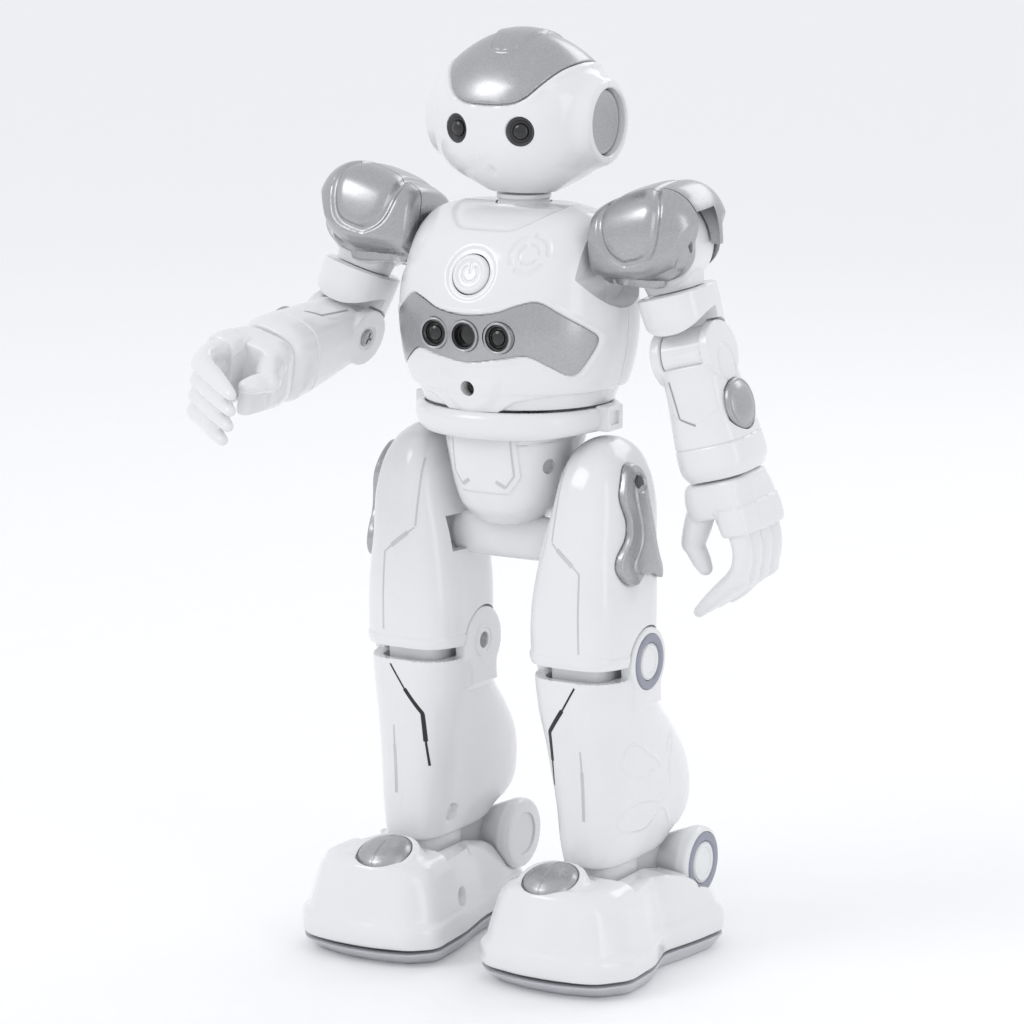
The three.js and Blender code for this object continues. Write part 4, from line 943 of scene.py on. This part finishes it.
def make_forearms(frames):
    hinge = (0, 0, -ELBOW_DOWN)
    form = loft(levels([
        (-66, 9.6, 9.5, 11), (-65.6, 10, 9.9, 11.4), (-62.6, 11.3, 10.9, 12.8), (-57.2, 11.2, 10.8, 12.7),
        (-50, 10.5, 10.2, 12.2), (-42, 9.8, 9.4, 11.2), (-34.6, 9.5, 8.9, 9.6), (-34, 9.2, 8.6, 9.2),
    ], nf=2.7), 0.35)
    seam = np.array([(-40, -56.4), (40, -56.4)])
    ears = cylinder(LEFTWARDS, hinge, 8.3, -9.4, 9.4, 128)
    cut(ears, box((-6.4, 6.4), (-20, 20), (-60, 0)))
    cut(form, cylinder(LEFTWARDS, hinge, 7.8, -6.4, 6.4, 128))
    join(form, ears)
    applied(form, "REMESH", mode="VOXEL", voxel_size=0.36)
    soften(form, 5)
    oval = np.array([(4.2 * math.cos(t), -36 + 5.6 * math.sin(t)) for t in np.linspace(0, 2 * math.pi,
        40)[:-1]])
    panel = spaced(rounded([(-7.2, -34), (-5.8, -46.6), (0.8, -49.6), (7.5, -47), (7.5, -34)], 1.2), 0.5)
    panel = np.vstack([panel, [(7.5, -34)]])

    def shape(co, normals):
        out = groove(co[:, ::2], seam, 0.55, 0.4, soft=0.2)
        outer = co[:, 0] > 4
        out += np.where(outer, groove(co[:, 1:], oval, 0.7, 0.28, True), 0)
        out += np.where(co[:, 0] < -4, pit(co[:, 1:], (0, -ELBOW_DOWN), 0.5, 3.4, 3.9), 0)
        return out + np.where(co[:, 1] < -4, plateau(co[:, ::2], panel, 0.22, 0.3), 0)

    relief(form, shape)
    badge_at = (0, 0, -47.6)
    cut(form, moved(turned([(0, 9), (7.35, 9), (7.35, 10.9), (7.7, 11.5), (7.7, 20), (0, 20)], 0),
                    badge_at, LEFTWARDS))
    cut(form, cylinder(UP, CENTRE, 6.4, -70, -44))
    cut(form, cylinder((0.3, 1, 0), (3, 9, -60.5), 1.9, -3, 6, 48))
    mark = printed(form, [(-4.9, -37), (-3.9, -47.6), (0.6, -50)], 0.6, "front")
    paired(mark, "forearm_line", "forearm", GREY_INK, (), frames["fore"])
    paired(form, "forearm_sleeve", "forearm", WHITE, ["forearm"], frames["fore"])
    badge = moved(turned([
        (0, 9.4), (7.1, 9.4), (7.1, 10.5), (6.7, 10.9), (6.2, 10.7), (5.6, 11.2), (4.6, 11.75),
        (2.6, 12.25), (0, 12.4),
    ], 0.35, 128), badge_at, LEFTWARDS)
    paired(badge, "forearm_shield", "forearm", SILVER, ["forearm_badge"], frames["fore"])
    screw = turned([(0, -1), (2.6, -1), (2.6, 0.1), (2, 0.45), (0, 0.6)], 0.2, 64)
    for turn in (0, math.pi / 2):
        cross = box((-1.7, 1.7), (-0.35, 0.35), (-0.1, 1))
        cross.data.transform(Matrix.Rotation(turn, 4, "Z"))
        cut(screw, cross)
    moved(screw, (-9.2, 0, -ELBOW_DOWN), (-1, 0, 0), 0.5)
    paired(screw, "elbow_screw", "forearm", SCREW, (), frames["fore"])


def make_hands(frames):
    top = -WRIST_DOWN - 0.5

    def level(down, w, f, b, cx, n):
        return (top - down, w, f, b, cx, n)

    palm = loft(levels([
        level(10.4, 9.4, 8.4, 8.4, -2.2, 3.4), level(9.6, 10, 9.2, 9.2, -2, 3.8),
        level(5, 10.4, 9.7, 9.7, -1.6, 4),
        level(1, 9.8, 9.4, 9.4, -1, 4), level(0.3, 9.2, 8.8, 8.8, -1, 4), level(0, 8.4, 8, 8, -1, 4),
    ]), 0.5)
    plate = loft(levels([
        level(15.6, 4.4, 9.4, 9.4, 4.2, 4.5), level(15.2, 4.8, 9.8, 9.8, 4.2, 4.5),
        level(9, 4.9, 9.8, 9.8, 4.2, 4.5),
        level(3, 4.4, 9.4, 9.4, 3.8, 4.5), level(2, 3.6, 8.8, 8.8, 3.6, 4.5),
    ]), 0.5)
    parts = [palm, plate]
    for number in range(4):
        y = (number - 1.5) * 4.75
        reach = (0, 0.4, 0.2, -1.2)[number]
        path = [(4.3, 10, 3.1), (4.4, 16, 3), (3.9, 21, 2.9), (1.6, 25.6, 2.9), (-2.2, 28.6, 2.9),
                (-6.8, 30.8, 2.7),
                (-12 - reach, 33.4, 2.3), (-16.4 - reach, 35.6, 1.7)]
        parts.append(limb([(x, y, top - down, r) for x, down, r in path], 0.96))
        parts.append(limb([(0.6, y, top - 27.6, 3.1), (-0.8, y, top - 28.2, 3.1)], 0.84))
    thumb = [(-6.4, 4.5, 3.9), (-9, 9, 4.1), (-12, 13.4, 3.9), (-14.3, 16.6, 3.4)]
    parts.append(limb([(x, -4.4, top - down, r) for x, down, r in thumb], 0.95))
    tip = [(-14.2, 15.4, 3.1), (-13.6, 19, 3), (-12.9, 22, 2.8), (-12.4, 24, 2.3)]
    parts.append(limb([(x, -4.4, top - down, r) for x, down, r in tip], 0.92))
    heel = [(-10.6, 4), (-3, 4), (-3.4, 14.6), (-5.4, 18.2), (-8.4, 17.4), (-9.6, 10)]
    parts.append(prism([(x, top - down) for x, down in rounded(heel, 1.6, True)], 1, 8.8))
    hand = blended(parts, 0.36, 9)

    def shape(co, normals):
        down = top - co[:, 2]
        knuckles = 0.55 * (1 - ease(down, 15.3, 15.8)) * ease(down, 3, 12)
        plate_edge = 0.2 * ease(co[:, 1], -3.2, -2.4)
        return (np.where((co[:, 0] > -0.4) & (down > 8), knuckles, 0)
                + np.where((co[:, 0] > 3) & (down < 15.5), plate_edge, 0))

    relief(hand, shape)
    stem = cylinder(UP, CENTRE, 6, -68, -46, 96)
    join(hand, stem)
    paired(hand, "hand_shell", "hand", WHITE, ["hand"], frames["hand"], sharp=50)

# ---------- legs, made for the left side ----------

KNEE = (0, 0, 88)
ANKLE = (0, 26, 24)
THIGH = levels([
    (89.2, 14.9, 21, 12), (89.7, 15.3, 21.4, 12.4), (104, 15.2, 21.8, 13.4, 26.8, 3.2),
    (120, 13.8, 20.6, 14, 27.6, 2.8),
    (131, 12.2, 19, 14, 28.9, 2.7), (140, 10.4, 16.4, 12.6, 29, 2.7), (146.4, 7.6, 12, 10, 28.6, 2.7),
    (149.8, 3.9, 6.4, 5.6, 28.2, 2.7), (150.8, 0.3, 0.4, 0.4, 28, 2.7),
], cx=26.7, nf=3.3, nb=2.7)
ORNAMENT = [  # (backwards, height)
    (-8.6, 142), (-5.6, 144.4), (-2, 143.8), (0, 141), (-0.2, 134), (1.8, 126), (4.2, 119), (7.4, 113.6),
    (6.4, 110.9), (2.2, 112.8), (-4.4, 113.4), (-8, 111.4), (-11.6, 112), (-14.4, 115.6), (-14, 119.6),
    (-10.8, 124.4), (-10.2, 129), (-11.6, 136),
]

ORNAMENT_DOT = (-3.9, 139.2)


def swollen(rows, by):
    out = rows.copy()
    out[:, 1:4] += by
    out[-1, 0] += by
    return out


def make_thighs():
    body = loft(THIGH, 0.42)
    tongue = loft(levels([
        (80.4, 8.4, 15.8, 6.6), (80.8, 8.8, 16.2, 7), (91, 8.8, 16.2, 7),
    ], cx=26.8, nf=5), 0.6, smooth=False)
    edge = smooth_outline(ORNAMENT)

    def shape(co, normals):
        outer = co[:, 0] > 30
        out = np.where(outer, plateau(co[:, 1:], edge, -0.45, 0.3), 0)
        lip = 0.35 * (1 - ease(co[:, 2], 90.9, 91.5))
        rear = co[:, 1] > 5
        return out + lip + np.where(rear, pit(co[:, ::2], (27, 104), 1.0, 2.1, 2.5), 0)

    relief(body, shape)
    join(body, tongue)
    cut(body, cylinder(LEFTWARDS, KNEE, 10.3, -1, 15.7, 128), cylinder(LEFTWARDS, KNEE, 10.3, 38.1, 60, 128))
    cut(body, box((0, 22), (-12.4, 4.4), (115.6, 125.6)))
    cut(body, cylinder(LEFTWARDS, (0, 0, 138), 4.9, 0, 24))
    base = loft(THIGH, 0.8)
    for name, path, width in (
        ("high", [(22.6, 142), (22.2, 123.4)], 0.5), ("step", [(22.4, 123), (24.6, 121.2)], 0.5),
        ("thick", [(24.3, 121.5), (29.4, 117.4)], 1.25),
        ("low", [(29.2, 117.6), (31.6, 115.4), (31.8, 93)], 0.5),
    ):
        paired(printed(base, path, width, "front"), f"thigh_line_{name}", "thigh", PALE_INK)
    bpy.data.objects.remove(base)
    paired(body, "thigh_cover", "thigh", WHITE, ["thigh_shell"])

    plate = keep(loft(swollen(THIGH, 1.9), 0.8), prism(edge, 30, 60, "yz"))
    cut(plate, loft(swollen(THIGH, -0.2), 0.8))
    applied(plate, "REMESH", mode="VOXEL", voxel_size=0.26)
    soften(plate, 7)
    rim = spaced(curve([
        (-6.6, 140.4), (-7.4, 134), (-6, 127), (-6.4, 122.4), (-9.6, 117.8), (-9.2, 115.2), (-6, 114.6),
    ], 0.5), 0.5)

    def flame(co, normals):
        flat = co[:, 1:]
        crown = 0.3 * ease(-signed(flat, edge), 0.3, 3)
        dimple = pit(flat, ORNAMENT_DOT, 0.5, 2.3, 2.8)
        return (groove(flat, rim, 1.0, 0.55, soft=0.35) + crown + dimple) * (normals[:, 0] > 0.3)

    relief(plate, flame)
    paired(plate, "thigh_flame", "thigh", SILVER, ["thigh_ornament"])
    dot = turned([(0, -2), (2.25, -2), (2.25, -0.1), (1.9, 0.2), (0, 0.25)], 0.15, 64)
    paired(moved(dot, (41.2, *ORNAMENT_DOT), (1, 0, 0.12)), "thigh_dot", "thigh", DARK)


SHIN = levels([
    (30, 8.6, 15.2, 23, 29.4, 3, 3.6), (30.5, 9, 15.6, 24, 29.4, 3, 3.6), (33, 9.5, 16, 30, 29.4, 3, 3.6),
    (38, 10.2, 16.3, 37, 29.2, 3, 4), (46, 10.9, 16.6, 38, 29, 3, 4), (55, 11.8, 17.2, 34.6, 28.4, 3, 3.8),
    (65, 12.8, 18.4, 26, 27.7, 3, 3.4), (74, 14, 19.8, 16, 27.1, 3, 3), (83.8, 14.8, 20.8, 10, 26.8, 3, 3),
    (84.2, 14.4, 20.4, 9.6, 26.8, 3, 3),
])
FLAMES = [  # raised lines on the outer side, (backwards, height)
    [(11, 55.3), (9.4, 57.4), (4, 60.6), (-1, 63.8), (-6.4, 65), (-10, 61.6), (-9.4, 58.4), (-6, 56.6),
     (1.7, 54.4), (8, 55)],
    [(16, 46), (12, 45.2), (6, 46.4), (-2, 47.4), (-8, 46.4), (-10.8, 43.2), (-8.4, 40.8), (-3, 39.6),
     (3.4, 39.2), (8, 40.8), (12, 43), (15.4, 41.4), (18.4, 37)],
    [(17.8, 49.6), (17.2, 55), (19, 60), (18.6, 63.2), (16, 62), (15.4, 59)],
]


def flat_ring(profile, hole, seat):
    """A ring turned about z, open in the middle and cut off square at its seat."""
    ring = cut(turned(profile, 0.2, 128), cylinder(UP, CENTRE, hole, 30, 60, 128))
    return cut(ring, cylinder(UP, CENTRE, 20, 30, seat, 32))


def make_shins():
    body = loft(SHIN, 0.45)
    for inside, outside in ((11.3, 15.3), (38.5, 42.5)):
        ear = moved(turned([(0, inside), (9.8, inside), (9.8, outside), (0, outside)], 0.5, 128), KNEE,
                    (1, 0, 0))
        join(ear, box((inside + 0.2, outside - 0.2), (-7, 8.4), (75, 82)))
        join(body, ear)
    pocket = loft(levels([(76, 10.2, 17.8, 8.6), (90, 10.2, 17.8, 8.6)], cx=26.8, nf=5), 0.8, smooth=False)
    applied(body, "REMESH", mode="VOXEL", voxel_size=0.42)

    def near_ear(co):
        radius = np.hypot(co[:, 1], co[:, 2] - 88)
        return ease(radius, 9.4, 10.2) * (1 - ease(radius, 13, 16)) * (co[:, 2] < 84)

    soften(body, 2)
    soften(body, 30, near_ear)
    flames = [spaced(curve(path, 0.5), 0.5) for path in FLAMES]

    def shape(co, normals):
        outer = normals[:, 0] > 0.35
        out = np.zeros(len(co))
        for path in flames:
            out += np.where(outer, groove(co[:, 1:], path, 0.9, -0.3, soft=0.35), 0)
        inner = normals[:, 0] < -0.5
        out += np.where(inner, pit(co[:, 1:], (-5, 37), 1.6, 2.4, 2.8), 0)
        crease = np.array([(27.8, 78), (29.2, 58.6), (28.5, 34)])
        return out + np.where(co[:, 1] < -8, groove(co[:, ::2], crease, 0.4, 0.1, soft=0.2), 0)

    relief(body, shape)
    cut(body, pocket)
    ring_groove = cut(cylinder(LEFTWARDS, KNEE, 8.05, 41.9, 60, 128),
                      cylinder(LEFTWARDS, KNEE, 5.15, 30, 70, 96))
    cut(body, ring_groove, cylinder(LEFTWARDS, ANKLE, 10.75, -1, 60, 128),
        cylinder(LEFTWARDS, KNEE, 2.4, 0, 16, 48))
    for name, path, width in (
        ("top", [(30.1, 83), (25.6, 75.6)], 0.55), ("middle", [(25.8, 76), (20.9, 69), (20.9, 60.4)], 1.2),
        ("low", [(20.9, 60.8), (20.6, 52.9)], 0.6),
    ):
        paired(printed(body, path, width, "front"), f"shin_line_{name}", "shin", BLACK_INK)
    for name, path, width in (("thin", [(30.6, 64.4), (30.8, 58)], 0.5),
                              ("wide", [(30.8, 58.4), (30.9, 44)], 0.95)):
        paired(printed(body, path, width, "front"), f"shin_bar_{name}", "shin", PALE_INK)
    paired(body, "shin_cover", "shin", WHITE, ["shin_shell"])
    ring = flat_ring([
        (0, 41.2), (7.9, 41.2), (7.9, 42.6), (7.5, 42.95), (5.8, 42.95), (5.3, 42.4), (5.3, 41.2), (0, 41.2),
    ], 5.25, 41.75)
    paired(moved(ring, KNEE, LEFTWARDS), "knee_trim", "shin", RING, ["knee_ring"])
    hub = turned([(0, -1.2), (4.9, -1.2), (4.9, 0.2), (4.5, 0.5), (3.6, 0.3), (3.2, -0.2), (0, -0.1)],
                 0.25, 96)
    paired(moved(hub, (42.4, 0, 88), (1, 0, 0)), "knee_cap", "shin", WHITE)
    eyelet = turned([
        (0, -1), (5.2, -1), (5.2, 0.1), (4.6, 0.5), (3.7, 0.5), (3.2, -0.2), (2.5, -0.6), (0, -0.6),
    ], 0.25, 96)
    cut(eyelet, cylinder(UP, CENTRE, 2.4, -5, 5, 48))
    paired(moved(eyelet, (11.5, 0, 88), (-1, 0, 0)), "knee_eyelet", "shin", WHITE)


def make_ankles():
    drum = moved(turned([
        (0, 13.2), (9.6, 13.2), (10.4, 14), (10.4, 16.6), (6.8, 25), (6.8, 34), (10.4, 42.8), (10.4, 45.5),
        (9.5, 46.4), (0, 46.4),
    ], 0.7, 128), ANKLE, (1, 0, 0))
    neck = loft(levels([(20.4, 7.6, 12.6, 8), (29.7, 7.6, 12.6, 8)], cx=29.4, nf=3.4), 0.6, smooth=False)
    join(drum, neck, box((24, 35), (2, 26), (20.4, 28.6)))
    channel = cylinder(LEFTWARDS, ANKLE, 9.0, 45.7, 60, 128)
    cut(channel, cylinder(LEFTWARDS, ANKLE, 5.95, 30, 70, 96))
    cut(drum, channel)
    cut(drum, moved(turned([(0, -0.6), (6.4, -0.6), (6.4, 1.4), (7, 2), (0, 2)], 0.1, 96), (13.2, 26, 24),
                    (-1, 0, 0)))
    paired(drum, "ankle_hub", "shin", WHITE, ["ankle_block"])
    ring = flat_ring([
        (0, 45), (8.85, 45), (8.85, 46.4), (8.4, 46.75), (6.6, 46.75), (6.1, 46.2), (6.1, 45), (0, 45),
    ], 6.05, 45.75)
    paired(moved(ring, ANKLE, LEFTWARDS), "ankle_trim", "shin", RING, ["ankle_ring"])
    cap = turned([(0, -1.2), (5.7, -1.2), (5.7, 0.2), (5.2, 0.55), (4.3, 0.3), (3.9, -0.2), (0, -0.1)],
                 0.25, 96)
    paired(moved(cap, (46.3, 26, 24), (1, 0, 0)), "ankle_cap", "shin", WHITE)


FOOT = [
    (6.4, -33.6), (13, -40.6), (24, -43), (36, -43), (48, -39.6), (54.6, -31), (54, -16), (49.6, -2),
    (52.8, 13),
    (54.2, 26), (47.6, 34), (36, 37.6), (24, 37), (15.4, 31), (12.6, 18), (11.6, 2), (8, -15),
]
FOOT_MIDDLE = np.array([31, -3])
FOOT_RISE = [  # height, drawn in from the inside, outside, front and back
    (4.3, 0.6, 0.6, 0.6, 0.6), (4.7, 0.4, 0.4, 0.4, 0.4), (8.2, 0, 0, 0, 0), (10.9, 0.2, 0.2, 0.2, 0.4),
    (12.6, 1.7, 1.7, 1.5, 2), (17.5, 2.6, 2.8, 2.8, 5), (24, 4.2, 4.6, 4.2, 22), (27.4, 6, 6.6, 5.6, 38),
    (28.5, 8, 8.6, 7.2, 44), (28.9, 9.6, 10.2, 8.6, 47),
]
TOE = (27.3, -28.8, 30)
TOE_WAY = (0, -math.sin(math.radians(22)), math.cos(math.radians(22)))


def foot_rings(rise, count=440, corner=3.2):
    edge = rounded(FOOT, corner, True, 7)
    length = np.linalg.norm(np.diff(spaced(edge, 1, True), axis=0), axis=1).sum()
    flat = spaced(edge, length / count, True)
    reach = np.array([[23, 22.6], [40.4, 40.6]])
    rings = []
    for z, inner, outer, front, back in spaced(np.array(rise, float), 0.45):
        off = flat - FOOT_MIDDLE
        draw = np.where(off < 0, np.array([inner, front]) / reach[:, 0],
                        np.array([outer, back]) / reach[:, 1])
        rings.append(np.column_stack([FOOT_MIDDLE + off * (1 - draw), np.full(len(flat), z)]))
    return rings


def make_feet():
    body = skin(foot_rings(FOOT_RISE))
    soften(body, 6)
    pad = moved(loft(levels([
        (-8, 13, 11.8, 9.8), (-7, 12.6, 11.4, 9.4), (-1.2, 10.5, 10.3, 9.1), (-0.3, 9.9, 9.8, 8.9),
        (0, 9.3, 9.3, 8.5),
    ], nf=2.3), 0.4), TOE, TOE_WAY)
    join(body, pad)
    applied(body, "REMESH", mode="VOXEL", voxel_size=0.45)

    def near_pad(co):
        away = np.hypot(co[:, 0] - TOE[0], co[:, 1] - TOE[1])
        return (1 - ease(away, 15, 19)) * ease(away, 9.6, 10.6)

    soften(body, 3)
    soften(body, 30, near_pad)

    def shape(co, normals):
        inner = normals[:, 0] < -0.6
        return np.where(inner, pit(co[:, 1:], (-14, 15.4), 1.6, 2.2, 2.7), 0)

    relief(body, shape)
    cut(body, moved(turned([(0, -1), (8.25, -1), (8.25, 0.3), (8.6, 1), (8.6, 9), (0, 9)], 0, 128), TOE,
                    TOE_WAY))
    cut(body, cylinder(LEFTWARDS, ANKLE, 11, 9.2, 50.4, 128))
    cut(body, box((20.4, 38.4), (-14.6, 30), (16.4, 60)), box((10, 50), (-17.6, 60), (26.4, 60)))
    hollow = skin(foot_rings([(0, 3.6, 3.6, 3.6, 3.6), (9, 3.6, 3.6, 3.6, 4.4), (13, 7, 7, 8, 14)], 120))
    cut(body, hollow)
    paired(body, "foot_cover", "foot", WHITE, ["foot_shell"])
    dome = turned([(0, -0.8), (8, -0.8), (7.9, 0), (6.8, 1.15), (4.6, 2.2), (2.2, 2.7), (0, 2.8)], 0.6, 160)
    applied(dome, "REMESH", mode="VOXEL", voxel_size=0.22)
    soften(dome, 4)
    relief(dome, lambda co, normals: -0.25 * (1 - ease(np.abs(co[:, 0]), 0.1, 0.35)) * (normals[:, 2] > 0.3))
    paired(moved(dome, TOE, TOE_WAY), "toe_cap", "foot", SILVER, ["toe_dome"])
    sole = skin(foot_rings([
        (0, 3.4, 3.4, 6.4, 4), (0.4, 2.9, 2.9, 5.9, 3.5), (3.8, 0.6, 0.6, 0.9, 0.6),
        (4.15, 0.7, 0.7, 0.7, 0.7),
    ]))
    cut(sole, box((22.2, 31.8), (-19.8, -8.2), (-1, 20)))
    treads = [box((14, 46), (y - 0.6, y + 0.6), (-0.2, 0.5)) for y in (-34, -28, -2, 6, 14, 22, 29)]
    cut(sole, *treads)
    paired(sole, "foot_base", "foot", SOLE, ["foot_sole"])


make_head()
make_torso()
make_button()
make_waist()
make_pelvis()
frames = arm_frames()
make_shoulders(frames)
make_upper_arms(frames)
make_forearms(frames)
make_hands(frames)
make_thighs()
make_shins()
make_ankles()
make_feet()

# ---------- floor, light and camera ----------

CAMERA_TURN, CAMERA_RISE = math.radians(30.58), math.radians(11.05)
CAMERA_TARGET, CAMERA_DISTANCE = (-0.1, -3.4, 126.9), 1.1
CAMERA_LENS = 137.1
WORLD_STRENGTH = 0.92
LIGHTS = [
    ("key", (-0.55, -0.75, 0.75), (0.5, 0.5), 2.4),
    ("fill", (0.95, -0.35, 0.25), (0.25, 0.8), 0.7),
    ("back", (0.2, 0.9, 0.7), (0.9, 0.4), 1.5),
]


def make_stage():
    bpy.ops.mesh.primitive_circle_add(vertices=96, radius=30, fill_type="NGON")
    floor = bpy.context.object
    floor.name = "floor"
    floor.data.materials.append(finish_of("pale_floor", (0.97, 0.97, 0.97), 0.6, mottle=0.004, grain=4,
                                          edge_highlight=0, bump=0.01))
    world = bpy.data.worlds.new("studio")
    SCENE.world = world
    world.use_nodes = True
    world.node_tree.nodes["Background"].inputs["Color"].default_value = (0.96, 0.97, 1, 1)
    world.node_tree.nodes["Background"].inputs["Strength"].default_value = WORLD_STRENGTH
    middle = ORIGIN * MM + Vector((0, 0, 0.13))
    for name, place, size, power in LIGHTS:
        data = bpy.data.lights.new(name, "AREA")
        data.shape = "RECTANGLE"
        data.size, data.size_y = size
        data.energy = power
        lamp = bpy.data.objects.new(name, data)
        SCENE.collection.objects.link(lamp)
        lamp.location = middle + Vector(place)
        lamp.rotation_euler = (-Vector(place)).to_track_quat("-Z", "Y").to_euler()
    data = bpy.data.cameras.new("camera")
    data.lens, data.sensor_width = CAMERA_LENS, 36
    camera = bpy.data.objects.new("camera", data)
    SCENE.collection.objects.link(camera)
    back = Vector((
        math.sin(CAMERA_TURN) * math.cos(CAMERA_RISE), -math.cos(CAMERA_TURN) * math.cos(CAMERA_RISE),
        math.sin(CAMERA_RISE),
    ))
    target = (ORIGIN + Vector(CAMERA_TARGET)) * MM
    camera.location = target + back * CAMERA_DISTANCE
    camera.rotation_euler = back.to_track_quat("Z", "Y").to_euler()
    SCENE.camera = camera
    SCENE.view_settings.view_transform = "Standard"


make_stage()
